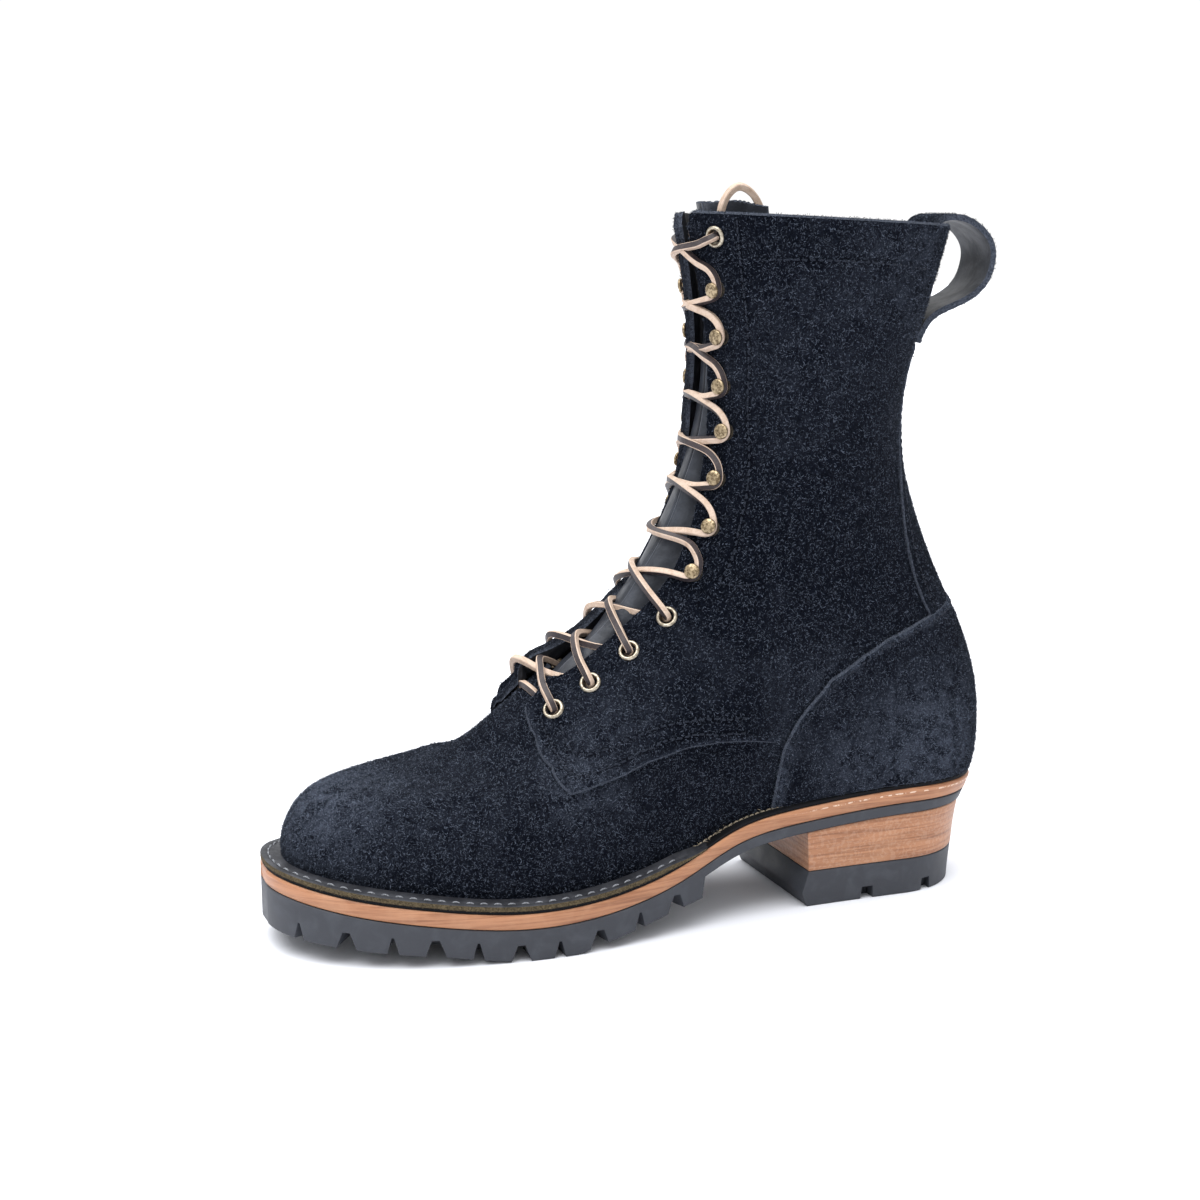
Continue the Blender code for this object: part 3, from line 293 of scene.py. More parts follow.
# Stitch rows seen from the side, by station and height.
EYESTAY_SEAM = (
    (122.5, 283.9), (119.8, 264.8), (118.3, 255.6), (115.8, 231.5), (116.1, 207.8), (116.4, 183.4),
    (119.3, 168.2), (121.8, 158.8), (125.1, 148.1), (130.5, 140.1),
)
EYESTAY_BAR = ((130.5, 140.1), (122.5, 138.6), (114.0, 140.1))
COLLAR_SEAM = ((125.1, 267.6), (102.8, 268.1), (67.2, 266.5), (42.0, 263.6))
# Spots of lighter nap by station, side, height, radius and strength: rubbed patches, and the first, on the
# toe's top, also a painted highlight where the top light falls.
BRUSHED_AND_LIT = tuple(starmap(Spot, (
    (290, 10, 60, 32, 0.95), (300, 30, 44, 18, 0.5), (252, 38, 58, 22, 0.25), (194, 44, 66, 17, 0.7),
    (184, 40, 84, 22, 0.35), (34, 36, 64, 32, 0.95), (66, 38, 60, 22, 0.7), (84, 38, 92, 20, 0.35),
    (40, 40, 268, 46, 0.35), (96, 38, 225, 30, 0.2), (20, 25, 200, 40, 0.25),
)))
FOLDS = tuple(starmap(Fold, (
    ((226.0, 72.0), (214.0, 52.0), 7.0, -1.1), ((234.0, 70.0), (226.0, 50.0), 9.0, 0.6),
    ((118.0, 118.0), (62.0, 152.0), 13.0, -1.3), ((112.0, 138.0), (50.0, 176.0), 14.0, -1.0),
    ((116.0, 127.0), (60.0, 163.0), 11.0, 0.7), ((60.0, 205.0), (112.0, 190.0), 16.0, -0.6),
)))


def spline(knots: Sequence[float], values: Sequence[float]) -> Curve:
    """A natural cubic through rows of a table.

    Args:
        knots: Rising places.
        values: The value at each place.

    Returns:
        A function from a place to its value.
    """
    place_of = np.asarray(knots, float)
    value_of = np.asarray(values, float)
    count = len(place_of)
    step = np.diff(place_of)
    rise = np.diff(value_of) / step
    matrix = np.eye(count)
    bends = np.zeros(count)
    for row in range(1, count - 1):
        matrix[row, row - 1 : row + 2] = (step[row - 1], 2 * (step[row - 1] + step[row]), step[row])
        bends[row] = 6 * (rise[row] - rise[row - 1])
    bends = np.linalg.solve(matrix, bends)

    def at(place: Array) -> Array:
        """The value at a place.

        Args:
            place: One place or many.

        Returns:
            The value at each.
        """
        place = np.asarray(place, float)
        row = np.clip(np.searchsorted(place_of, place, side="right") - 1, 0, count - 2)
        span = step[row]
        ahead = place_of[row + 1] - place
        behind = place - place_of[row]
        curve = (bends[row] * ahead**3 + bends[row + 1] * behind**3) / (6 * span)
        near = (value_of[row] / span - bends[row] * span / 6) * ahead
        far = (value_of[row + 1] / span - bends[row + 1] * span / 6) * behind
        return curve + near + far

    return at


def table_curve(table: Sequence[Sequence[float]], column: int) -> Curve:
    """A natural cubic through a column of a table whose first column holds the places."""
    return spline([row[0] for row in table], [row[column] for row in table])


def smooth_share(value: Array) -> Array:
    """A rise from 0 to 1 that is level at both ends."""
    value = np.clip(value, 0, 1)
    return value * value * (3 - 2 * value)


def unit(vectors: Array) -> Array:
    """The vectors at length 1."""
    return vectors / np.maximum(np.linalg.norm(vectors, axis=-1, keepdims=True), 1e-9)


def smooth_path(points: Array, spacing: float) -> Array:
    """A smooth path through points, at an even spacing.

    Args:
        points: Rows of any number of columns, the first three being a place.
        spacing: Millimetres between the path's points.

    Returns:
        Rows of the same columns.
    """
    points = np.asarray(points, float)
    chords = np.linalg.norm(np.diff(points[:, :3], axis=0), axis=1)
    knots = np.concatenate([[0], np.cumsum(np.sqrt(np.maximum(chords, 1e-6)))])
    curves = [spline(knots, column) for column in points.T]
    fine = np.linspace(0, knots[-1], 40 * len(points))
    dense = np.stack([curve(fine) for curve in curves], 1)
    length = np.concatenate([[0], np.cumsum(np.linalg.norm(np.diff(dense[:, :3], axis=0), axis=1))])
    wanted = np.linspace(0, length[-1], max(int(length[-1] / spacing), 2) + 1)
    return np.stack([np.interp(wanted, length, column) for column in dense.T], 1)


def sidestep(points: Array, distance: float) -> Array:
    """A flat path moved sideways to its left by a distance."""
    along = unit(np.gradient(points, axis=0))
    return points + np.stack([-along[:, 1], along[:, 0]], 1) * distance


@dataclass(frozen=True)
class SoleForm:
    """The outline and heights that every layer of the sole follows."""

    length: float = 312.0
    mid_station: float = 153.85
    mid_side: float = 1.16
    toe_round: float = 72.0
    toe_power: float = 2.25
    heel_round: float = 40.0
    heel_power: float = 2.2
    toe_margin: float = 9.0
    heel_margin: float = 2.0
    outer: Curve = table_curve(OUTLINE, 1)
    inner: Curve = table_curve(OUTLINE, 2)
    margin: Curve = table_curve(OUTLINE, 3)
    bed: Curve = table_curve(BED, 1)

    def tread(self, station: Array) -> Array:
        """The height of the lugs' feet above the floor."""
        return np.interp(station, *zip(*TREAD))

    def half_widths(
        self, station: Array, margin: Array = 0.0, heel: float = 0.0, toe: float | None = None
    ) -> tuple[Array, Array]:
        """Outer and inner half widths of the sole.

        Args:
            station: Places along the foot.
            margin: How far the outline is drawn in.
            heel: The station of the outline's back.
            toe: The station of the outline's front, the sole's own if left out.

        Returns:
            The two half widths.
        """
        station = np.asarray(station, float)
        front = self.length if toe is None else toe
        ahead = np.clip((station - (front - self.toe_round)) / self.toe_round, 0, 1)
        behind = np.clip((heel + self.heel_round - station) / self.heel_round, 0, 1)
        share = (1 - ahead**self.toe_power) ** (1 / self.toe_power)
        share = share * (1 - behind**self.heel_power) ** (1 / self.heel_power)
        return (self.outer(station) - margin) * share, (self.inner(station) - margin) * share

    def feather(self, along: Array) -> tuple[Array, Array, Array]:
        """The line where the upper meets the sole.

        Args:
            along: Places from the toe (0) to the heel (1).

        Returns:
            Stations, outer half widths and inner half widths.
        """
        front = self.length - self.toe_margin
        station = front + (self.heel_margin - front) * np.asarray(along, float)
        outer, inner = self.half_widths(station, self.margin(station), self.heel_margin, front)
        return station, outer, inner

    def to_frame(self, points: Array) -> Array:
        """Millimetre points as metres in the boot's frame."""
        return (np.asarray(points, float) - [self.mid_station, self.mid_side, 0.0]) * MM


@dataclass
class LastForm:
    """The shape of the upper's outside."""

    sole: SoleForm
    step: float = 2.3
    step_fade: float = 3.0
    corner_lift: float = 2.6
    far_corner_lift: float = 4.4
    far_overlap: float = 0.024
    flare_width: float = 0.026
    corner_width: float = 0.07
    corner_rise: float = 0.9
    corner_blend: float = 0.35
    step_end: float = 0.545
    step_blend: float = 0.05
    throat_set_back: float = 0.012
    counter_front: float = 0.597
    counter_round: float = 0.020
    counter_drop: float = 1.0
    throat_level: float = 7.55
    collar: float = len(LAST) - 1.0
    columns: dict[str, Curve] = field(init=False)

    def __post_init__(self) -> None:
        """Fits the tables once."""
        levels = range(len(LAST))
        self.columns = {name: spline(levels, column) for name, column in zip(LastRow._fields, zip(*LAST))}
        along = np.linspace(0, 1, 401)
        _, outer, inner = self.sole.feather(along)
        self.widest_outer = outer.max()
        self.widest_inner = inner.max()
        self.sample_levels, self.sample_around = np.meshgrid(
            np.linspace(0, self.collar, 281), np.linspace(0.0, 1.0, 201), indexing="ij"
        )
        self.sample_points = self.point(self.sample_levels, self.sample_around)
        self.flap_places = np.array([self.locate(*edge) for edge in FLAP_EDGE])
        self.counter_places = np.array([self.locate(*edge) for edge in COUNTER_EDGE])
        self.throat_around = self.flap_places[0, 1] - self.throat_set_back
        self.edge_levels = np.linspace(self.throat_level, self.collar, 60)
        self.edge_places = np.array([self._throat_place(level) for level in self.edge_levels])

    def point(self, level: Array, around: Array) -> Array:
        """Points of the upper's outside.

        Args:
            level: Levels from the feather line to the collar.
            around: Places around the boot.

        Returns:
            Points by station, side and height.
        """
        level, around = np.broadcast_arrays(np.asarray(level, float), np.asarray(around, float))
        around = (around + 1) % 2 - 1
        row = {name: curve(level) for name, curve in self.columns.items()}
        along = (1 - np.cos(math.pi * np.abs(around))) / 2
        sole_station, foot_outer, foot_inner = self.sole.feather(along)
        widest = row["widest"]
        ahead = np.clip((widest - along) / widest, 0, 1)
        behind = np.clip((along - widest) / (1 - widest), 0, 1)
        nose = (1 - ahead ** row["nose"]) ** (1 / row["nose"])
        heel = (1 - behind ** row["heel"]) ** (1 / row["heel"])
        oval = np.where(along < widest, nose, heel)
        foot = np.clip(row["foot_share"], 0, 1)
        outer = row["outer"] * (foot * foot_outer / self.widest_outer + (1 - foot) * oval)
        inner = row["inner"] * (foot * foot_inner / self.widest_inner + (1 - foot) * oval)
        side = np.where(around >= 0, outer, -inner)
        station = row["front_station"] + (row["back_station"] - row["front_station"]) * along
        front_bed = self.sole.bed(self.sole.length - self.sole.toe_margin)
        chord = front_bed + (self.sole.bed(self.sole.heel_margin) - front_bed) * along
        height = row["front_height"] + (row["back_height"] - row["front_height"]) * along
        height = height + np.maximum(row["bed_share"], 0) * (self.sole.bed(sole_station) - chord)
        return np.stack([station, side, height], -1)

    def axes(self, level: Array, around: Array) -> tuple[Array, Array, Array]:
        """Directions on the upper.

        Args:
            level: Levels.
            around: Places around the boot.

        Returns:
            Millimetres per unit of level, millimetres per unit of around, and the outward unit direction.
        """
        near = 0.004
        level = np.asarray(level, float)
        around = np.asarray(around, float)
        up = (self.point(level + near, around) - self.point(level - near, around)) / (2 * near)
        along = (self.point(level, around + near) - self.point(level, around - near)) / (2 * near)
        return up, along, unit(np.cross(along, up))

    def locate(self, station: float, height: float) -> tuple[float, float]:
        """The place on the outer side seen at a station and height from the side.

        Args:
            station: Millimetres along the foot.
            height: Millimetres above the floor.

        Returns:
            Level and place around.
        """
        wanted = np.array([station, height])
        away = self.sample_points[..., [0, 2]] - wanted
        nearest = np.unravel_index(np.argmin((away**2).sum(-1)), self.sample_levels.shape)
        place = np.array([self.sample_levels[nearest], self.sample_around[nearest]])
        for _ in range(6):
            up, along, _ = self.axes(place[0], place[1])
            slopes = np.stack([up[[0, 2]], along[[0, 2]]], 1)
            miss = wanted - self.point(place[0], place[1])[[0, 2]]
            place = place + np.clip(np.linalg.lstsq(slopes, miss, rcond=0.05)[0], -0.05, 0.05)
        return float(place[0]), float(place[1])

    def _throat_place(self, level: float) -> float:
        """Where the facings' front edge lies at a level.

        Args:
            level: The level.

        Returns:
            The place around the boot.
        """
        around = np.linspace(0.001, 0.35, 350)
        points = self.point(level, around)
        gap = np.interp(points[:, 2], *zip(*THROAT))
        return float(np.interp(0.0, points[:, 1] - gap, around))

    def throat_edge(self, level: Array, side: Side = Side.OUTER) -> Array:
        """A facing's front edge, blended into the flap's corner.

        Args:
            level: Levels above the throat's foot.
            side: The side of the foot; the inner edge reaches further in.

        Returns:
            The edge's places around the boot, as on the outer side.
        """
        above = np.asarray(level, float) - self.throat_level
        edge = np.interp(level, self.edge_levels, self.edge_places)
        edge = self.throat_around + (edge - self.throat_around) * smooth_share(above / self.corner_blend)
        if side is Side.INNER:
            edge = edge - self.far_overlap * (1 - smooth_share((above - 0.8) / 1.8))
        return edge

    def flap_level(self, around: Array) -> Array:
        """The level of the quarters' lower edge at places around the boot."""
        levels, places = zip((self.throat_level, self.throat_around), *self.flap_places, *FLAP_BEHIND)
        return np.interp(np.abs(around), places, levels)

    def counter_level(self, around: Array) -> Array:
        """The level of the counter's top edge, rounded down at its front.

        Args:
            around: Places around the heel.

        Returns:
            The level at each place.
        """
        around = np.abs(around)
        places = [*self.counter_places[:, 1], 1.0]
        levels = [*self.counter_places[:, 0], self.counter_places[-1, 0] + 0.04]
        short = np.clip(1 - (around - self.counter_front) / self.counter_round, 0, 1)
        return np.interp(around, places, levels) - self.counter_drop * (1 - np.sqrt(1 - short**2))

    def stand_off(self, level: Array, around: Array) -> Array:
        """How far the quarters stand out over the vamp, most at the throat's lower corners.

        Args:
            level: Levels.
            around: Places around the boot.

        Returns:
            Millimetres outwards.
        """
        inner = np.asarray(around) < 0
        lift = np.where(inner, self.far_corner_lift, self.corner_lift)
        around = np.abs(around)
        from_edge = (around - self.throat_edge(level, Side.INNER)) / self.flare_width
        flare = np.interp(level, *zip(*FAR_FLARE)) * np.exp(-(from_edge**2)) * inner
        above = np.asarray(level, float) - self.flap_level(around)
        fade = 1 - smooth_share(above / self.step_fade)
        before_counter = 1 - smooth_share((around - self.step_end) / self.step_blend)
        from_corner = (around - self.throat_around) / self.corner_width
        corner = np.exp(-(from_corner**2) - (above / self.corner_rise) ** 2)
        step = np.where(above >= -1e-6, self.step * fade * before_counter, 0.0)
        return step + lift * corner + flare

    def skin(self, level: Array, around: Array, clear: Array = 0.0) -> Array:
        """Points of the quarters' outside, or at a clearance from it."""
        offset = self.stand_off(level, around) + np.asarray(clear, float)
        return self.point(level, around) + self.axes(level, around)[2] * offset[..., None]

    def side_place(self, level: float, width: float) -> float:
        """The place around the back where the upper is as wide as given."""
        around = np.linspace(0.5, 1.0, 400)
        return float(np.interp(width, self.point(level, around)[::-1, 1], around[::-1]))


SOLE = SoleForm()
LAST_FORM = LastForm(SOLE)


class NodeBench:
    """Builds the node tree of one material."""

    def __init__(self, name: str) -> None:
        """Starts a material with a Principled shader.

        Args:
            name: The material's name.
        """
        self.material = bpy.data.materials.new(name)
        self.material.use_nodes = True
        self.tree = self.material.node_tree
        self.shader = self.tree.nodes["Principled BSDF"]
        self.place = self.add("ShaderNodeTexCoord").outputs["Object"]

    def add(self, kind: str, inputs: dict | None = None, **settings: object) -> bpy.types.Node:
        """Adds a node.

        Args:
            kind: The node's type name.
            inputs: Values or sockets by input name or number.
            settings: Properties of the node.

        Returns:
            The node.
        """
        node = self.tree.nodes.new(kind)
        for name, value in settings.items():
            setattr(node, name, value)
        for key, value in (inputs or {}).items():
            self.feed(node.inputs[key], value)
        return node

    def feed(self, target: Socket, value: object) -> None:
        """Links a socket to another, or sets its value.

        Args:
            target: The socket.
            value: The other socket or the value.
        """
        if isinstance(value, Socket):
            self.tree.links.new(value, target)
        elif isinstance(value, tuple) and len(value) == 3 and target.type == "RGBA":
            target.default_value = (*value, 1.0)
        else:
            target.default_value = value

    def noise(
        self, size: float, detail: float = 4.0, roughness: float = 0.6, swirl: float = 0.0,
        place: Socket | None = None,
    ) -> Socket:
        """Noise with features of a size in millimetres.

        Args:
            size: The size of its features.
            detail: How many finer layers it has.
            roughness: How strong the finer layers are.
            swirl: How far it is distorted.
            place: Where it is read, the object's own place if left out.

        Returns:
            The noise, mostly between 0.3 and 0.7.
        """
        inputs = {
            "Vector": place or self.place, "Scale": 1 / (size * MM), "Detail": detail,
            "Roughness": roughness, "Distortion": swirl,
        }
        return self.add("ShaderNodeTexNoise", inputs).outputs[0]

    def stretched(self, scale: Triple) -> Socket:
        """The place with each axis scaled."""
        inputs = {"Vector": self.place, "Scale": scale}
        return self.add("ShaderNodeMapping", inputs).outputs["Vector"]

    def value(self, name: str) -> Socket:
        """A value kept with the mesh's points."""
        return self.add("ShaderNodeAttribute", attribute_name=name).outputs["Fac"]

    def math(self, operation: str, first: object, second: object) -> Socket:
        """One operation on two values, with a sum held between 0 and 1."""
        settings = {"operation": operation, "use_clamp": operation == "ADD"}
        return self.add("ShaderNodeMath", {0: first, 1: second}, **settings).outputs[0]

    def times(self, first: object, second: object) -> Socket:
        """One value multiplied by another."""
        return self.math("MULTIPLY", first, second)

    def span(
        self, source: object, low: float, high: float, to: tuple[float, float] = (0.0, 1.0)
    ) -> Socket:
        """A value's range mapped smoothly to another one, 0 to 1 if left out."""
        inputs = {0: source, 1: low, 2: high, 3: to[0], 4: to[1]}
        return self.add("ShaderNodeMapRange", inputs, interpolation_type="SMOOTHSTEP").outputs[0]

    def mix(self, share: object, first: object, second: object) -> Socket:
        """A mix of two colours."""
        node = self.add("ShaderNodeMix", {0: share, 6: first, 7: second}, data_type="RGBA")
        return node.outputs[2]

    def bump(self, height: object, depth: float, strength: float, under: object = None) -> Socket:
        """A bump, on top of another one if given.

        Args:
            height: What it follows.
            depth: Its depth in millimetres.
            strength: How much of it is shown.
            under: The bump below.

        Returns:
            The bumped normal.
        """
        inputs = {"Height": height, "Distance": depth * MM, "Strength": strength}
        if under is not None:
            inputs["Normal"] = under
        return self.add("ShaderNodeBump", inputs).outputs[0]

    def finish(self, **inputs: object) -> Material:
        """Sets the shader's inputs.

        Args:
            inputs: Values or sockets by input name, with underscores for spaces.

        Returns:
            The material.
        """
        for name, value in inputs.items():
            self.feed(self.shader.inputs[name.replace("_", " ")], value)
        return self.material


@dataclass(frozen=True)
class SuedeFinish:
    """Rough suede, darker along seams and lighter where its nap is rubbed, with a painted highlight on the
    toe's top.
    """

    name: str = "suede_nap"
    dark: Colour = (0.0006, 0.0009, 0.0022)
    light: Colour = (0.0052, 0.0073, 0.0132)
    # The colour of rubbed nap, also used for the painted highlight on the toe's top.
    brushed_and_lit: Colour = (0.055, 0.065, 0.090)

    def material(self) -> Material:
        """The finish as a material.

        Returns:
            The material.
        """
        bench = NodeBench(self.name)
        tuft = bench.noise(1.5, 5.0, 0.65, 1.6)
        fibre = bench.noise(0.42, 3.0, 0.7, 2.2)
        cloud = bench.noise(22.0, 3.0, 0.55, 0.4)
        blotch = bench.noise(6.0, 3.0, 0.6, 0.6)
        fleck = bench.math("ADD", bench.times(tuft, 0.45), bench.times(fibre, 0.55))
        share = bench.span(fleck, 0.40, 0.64)
        base = bench.mix(share, self.dark, self.light)
        # The point value read here lightens the nap: rubbed rims and patches, and the painted highlight on
        # the toe's top.
        wear = bench.times(bench.value("wear"), bench.span(blotch, 0.30, 0.66))
        wear = bench.math("ADD", wear, bench.times(bench.span(cloud, 0.48, 0.74), 0.16))
        wear = bench.times(wear, bench.span(fleck, 0.36, 0.58))
        base = bench.mix(wear, base, self.brushed_and_lit)
        base = bench.mix(bench.times(bench.value("seam"), 0.75), base, self.dark)
        normal = bench.bump(fleck, 0.55, 0.9, bench.bump(blotch, 0.5, 0.35))
        return bench.finish(
            Base_Color=base, Roughness=0.95, Specular_IOR_Level=0.02, Sheen_Weight=0.01,
            Sheen_Roughness=0.6, Sheen_Tint=(0.62, 0.70, 0.86), Normal=normal,
        )


@dataclass(frozen=True)
class FibreFinish:
    """Loose fibres, each of its own tone."""

    name: str
    dark: Colour
    light: Colour

    def material(self) -> Material:
        """The finish as a material.

        Returns:
            The material.
        """
        bench = NodeBench(self.name)
        base = bench.mix(bench.value("tone"), self.dark, self.light)
        return bench.finish(Base_Color=base, Roughness=0.9, Specular_IOR_Level=0.03)


@dataclass(frozen=True)
class RawEdgeFinish:
    """A cut edge of hide."""

    name: str
    dark: Colour
    light: Colour

    def material(self) -> Material:
        """The finish as a material.

        Returns:
            The material.
        """
        bench = NodeBench(self.name)
        grit = bench.noise(0.7, 4.0, 0.7, 1.0)
        base = bench.mix(bench.span(grit, 0.34, 0.66), self.dark, self.light)
        return bench.finish(
            Base_Color=base, Roughness=0.92, Specular_IOR_Level=0.15, Normal=bench.bump(grit, 0.35, 0.8)
        )


@dataclass(frozen=True)
class SmoothLeatherFinish:
    """Smooth dyed leather with a fine grain, with a painted highlight and painted shade where the mesh's
    point values place them.
    """

    name: str
    base: Colour
    light: Colour
    roughness: float = 0.5
    grain: float = 0.9
    depth: float = 0.12

    def material(self) -> Material:
        """The finish as a material.

        Returns:
            The material.
        """
        bench = NodeBench(self.name)
        inputs = {"Vector": bench.place, "Scale": 1 / (self.grain * MM)}
        cells = bench.add("ShaderNodeTexVoronoi", inputs, feature="SMOOTH_F1").outputs[0]
        cloud = bench.noise(9.0, 4.0, 0.6, 0.4)
        base = bench.mix(bench.span(cloud, 0.35, 0.70), self.base, self.light)
        # Lighter and darker copies of the base colour: a painted highlight and painted shade, used along the
        # tongue's fold.
        painted_highlight = tuple(2.2 * tone for tone in self.light)
        sunk = tuple(0.12 * tone for tone in self.base)
        base = bench.mix(bench.times(bench.value("wear"), 0.5), base, painted_highlight)
        base = bench.mix(bench.times(bench.value("seam"), 0.85), base, sunk)
        rough = bench.span(cloud, 0.3, 0.7, (self.roughness + 0.06, self.roughness - 0.06))
        return bench.finish(
            Base_Color=base, Roughness=rough, Specular_IOR_Level=0.25,
            Normal=bench.bump(cells, self.depth, 0.6, bench.bump(cloud, 0.4, 0.25)),
        )


@dataclass(frozen=True)
class SoleLeatherFinish:
    """The dressed edge of stacked sole leather, with layer lines and scuffs."""

    name: str = "sole_leather_edge"
    base: Colour = (0.378, 0.172, 0.084)
    deep: Colour = (0.215, 0.084, 0.037)
    pale: Colour = (0.45, 0.250, 0.145)
    seam: Colour = (0.10, 0.045, 0.028)
    scuff: Colour = (0.74, 0.60, 0.48)

    def material(self) -> Material:
        """The finish as a material.

        Returns:
            The material.
        """
        bench = NodeBench(self.name)
        streak = bench.noise(2.4, 6.0, 0.7, 0.3, bench.stretched((0.07, 0.07, 2.2)))
        speck = bench.noise(0.8, 4.0, 0.7)
        cloud = bench.noise(13.0, 3.0, 0.6, 0.3)
        base = bench.mix(bench.span(streak, 0.32, 0.62), self.deep, self.base)
        base = bench.mix(bench.times(bench.span(cloud, 0.45, 0.75), 0.35), base, self.pale)
        base = bench.mix(bench.times(bench.span(speck, 0.56, 0.80), 0.25), base, self.deep)
        base = bench.mix(bench.times(bench.value("layer"), 0.45), base, self.seam)
        patchy = bench.span(bench.noise(1.5, 2.0, 0.5, 0.4), 0.50, 0.56)
        base = bench.mix(bench.times(bench.value("wear"), patchy), base, self.scuff)
        rough = bench.span(cloud, 0.3, 0.7, (0.42, 0.56))
        return bench.finish(
            Base_Color=base, Roughness=rough, Specular_IOR_Level=0.4, Coat_Weight=0.08, Coat_Roughness=0.3,
            Normal=bench.bump(streak, 0.18, 0.55, bench.bump(speck, 0.1, 0.4)),
        )


@dataclass(frozen=True)
class RubberFinish:
    """Matt moulded rubber with a little dust."""

    name: str = "moulded_rubber"
    base: Colour = (0.025, 0.028, 0.036)
    dust: Colour = (0.060, 0.066, 0.079)
    roughness: float = 0.48
    shine: float = 0.42

    def material(self) -> Material:
        """The finish as a material.

        Returns:
            The material.
        """
        bench = NodeBench(self.name)
        grain = bench.noise(0.6, 4.0, 0.65, 0.0, bench.stretched((0.12, 0.12, 1.6)))
        cloud = bench.noise(11.0, 4.0, 0.6, 0.5)
        base = bench.mix(bench.times(bench.span(cloud, 0.42, 0.72), 0.45), self.base, self.dust)
        rough = bench.span(cloud, 0.3, 0.7, (self.roughness, self.roughness + 0.14))
        return bench.finish(
            Base_Color=base, Roughness=rough, Specular_IOR_Level=self.shine,
            Normal=bench.bump(grain, 0.10, 0.6, bench.bump(cloud, 0.3, 0.3)),
        )


@dataclass(frozen=True)
class BrassFinish:
    """Aged brass, dull and darker in patches."""

    name: str
    base: Colour
    tarnish: Colour
    roughness: float = 0.38

    def material(self) -> Material:
        """The finish as a material.

        Returns:
            The material.
        """
        bench = NodeBench(self.name)
        spots = bench.noise(1.3, 5.0, 0.65, 0.4)
        scratch = bench.noise(0.25, 3.0, 0.6)
        base = bench.mix(bench.span(spots, 0.40, 0.62), self.base, self.tarnish)
        rough = bench.span(spots, 0.3, 0.7, (self.roughness, self.roughness + 0.2))
        return bench.finish(
            Base_Color=base, Roughness=rough, Metallic=1.0, Normal=bench.bump(scratch, 0.05, 0.5)
        )


@dataclass(frozen=True)
class LaceFinish:
    """One face of a rawhide lace, streaked along its length."""

    name: str
    base: Colour
    streak: Colour
    roughness: float = 0.62

    def material(self) -> Material:
        """The finish as a material.

        Returns:
            The material.
        """
        bench = NodeBench(self.name)
        fibre = bench.noise(0.5, 4.0, 0.7, 0.8)
        cloud = bench.noise(3.2, 4.0, 0.6, 0.6)
        share = bench.math("ADD", bench.times(fibre, 0.5), bench.times(cloud, 0.5))
        base = bench.mix(bench.span(share, 0.40, 0.66), self.base, self.streak)
        return bench.finish(
            Base_Color=base, Roughness=self.roughness, Specular_IOR_Level=0.35,
            Normal=bench.bump(fibre, 0.15, 0.6),
        )


@dataclass(frozen=True)
class ThreadFinish:
    """Waxed twisted thread."""

    name: str
    base: Colour
    twist: Colour

    def material(self) -> Material:
        """The finish as a material.

        Returns:
            The material.
        """
        bench = NodeBench(self.name)
        ply = bench.noise(0.35, 2.0, 0.5)
        base = bench.mix(bench.span(ply, 0.40, 0.60), self.base, self.twist)
        return bench.finish(
            Base_Color=base, Roughness=0.65, Specular_IOR_Level=0.15, Normal=bench.bump(ply, 0.12, 0.7)
        )


class Finishes:
    """Every material of the boot, made once."""

    def __init__(self) -> None:
        """Makes the materials."""
        leather = self._leather
        self.suede = SuedeFinish().material()
        self.fibre = FibreFinish("suede_fibre", (0.0012, 0.0018, 0.0036), (0.080, 0.095, 0.128)).material()
        self.cut = RawEdgeFinish("suede_cut_edge", (0.011, 0.014, 0.021), (0.070, 0.081, 0.107)).material()
        self.lining = leather("lining", (0.008, 0.009, 0.012), (0.020, 0.021, 0.026), 0.62)
        self.tongue = leather("tongue_leather", (0.015, 0.018, 0.025), (0.033, 0.038, 0.049), 0.42)
        self.strap = leather("strap_leather", (0.016, 0.019, 0.026), (0.034, 0.038, 0.048), 0.5)
        self.tan = SoleLeatherFinish().material()
        self.insole = leather("insole_leather", (0.30, 0.18, 0.10), (0.40, 0.26, 0.16), 0.6)
        self.rubber = RubberFinish().material()
        slip = RubberFinish("black_slip", (0.003, 0.003, 0.004), (0.009, 0.010, 0.013), 0.65, 0.12)
        self.slip = slip.material()
        self.welt_top = leather("welt_top", (0.012, 0.013, 0.017), (0.035, 0.037, 0.044), 0.6)
        raw = RawEdgeFinish("welt_raw_edge", (0.026, 0.021, 0.013), (0.130, 0.100, 0.056))
        self.welt_edge = raw.material()
        self.welt_fibre = FibreFinish("welt_fibre", (0.030, 0.024, 0.017), (0.20, 0.155, 0.10)).material()
        self.hook = BrassFinish("antique_brass", (0.36, 0.285, 0.182), (0.115, 0.084, 0.050), 0.30).material()
        # The washers' dark colour is partly their blackened metal and partly painted shade under the hook
        # heads.
        self.washer = BrassFinish("dark_washer", (0.055, 0.048, 0.038), (0.022, 0.020, 0.018), 0.5).material()
        self.eyelet = BrassFinish("pale_brass", (0.46, 0.412, 0.33), (0.25, 0.215, 0.165), 0.32).material()
        self.lace_pale = LaceFinish("lace_flesh", (0.50, 0.392, 0.315), (0.37, 0.262, 0.190)).material()
        grain = LaceFinish("lace_grain", (0.017, 0.0125, 0.0145), (0.044, 0.032, 0.033), 0.5)
        self.lace_dark = grain.material()
        self.thread = ThreadFinish("dark_thread", (0.004, 0.006, 0.011), (0.018, 0.023, 0.036)).material()
        self.welt_thread = ThreadFinish("pale_thread", (0.10, 0.108, 0.122), (0.27, 0.28, 0.305)).material()
        self.loose_thread = ThreadFinish("tan_thread", (0.10, 0.085, 0.06), (0.33, 0.28, 0.21)).material()
        self.panel = [self.suede, self.lining, self.cut]
        self.lace = [self.lace_pale, self.lace_dark]

    @staticmethod
    def _leather(name: str, base: Colour, light: Colour, roughness: float) -> Material:
        """A smooth leather as a material."""
        return SmoothLeatherFinish(name, base, light, roughness).material()


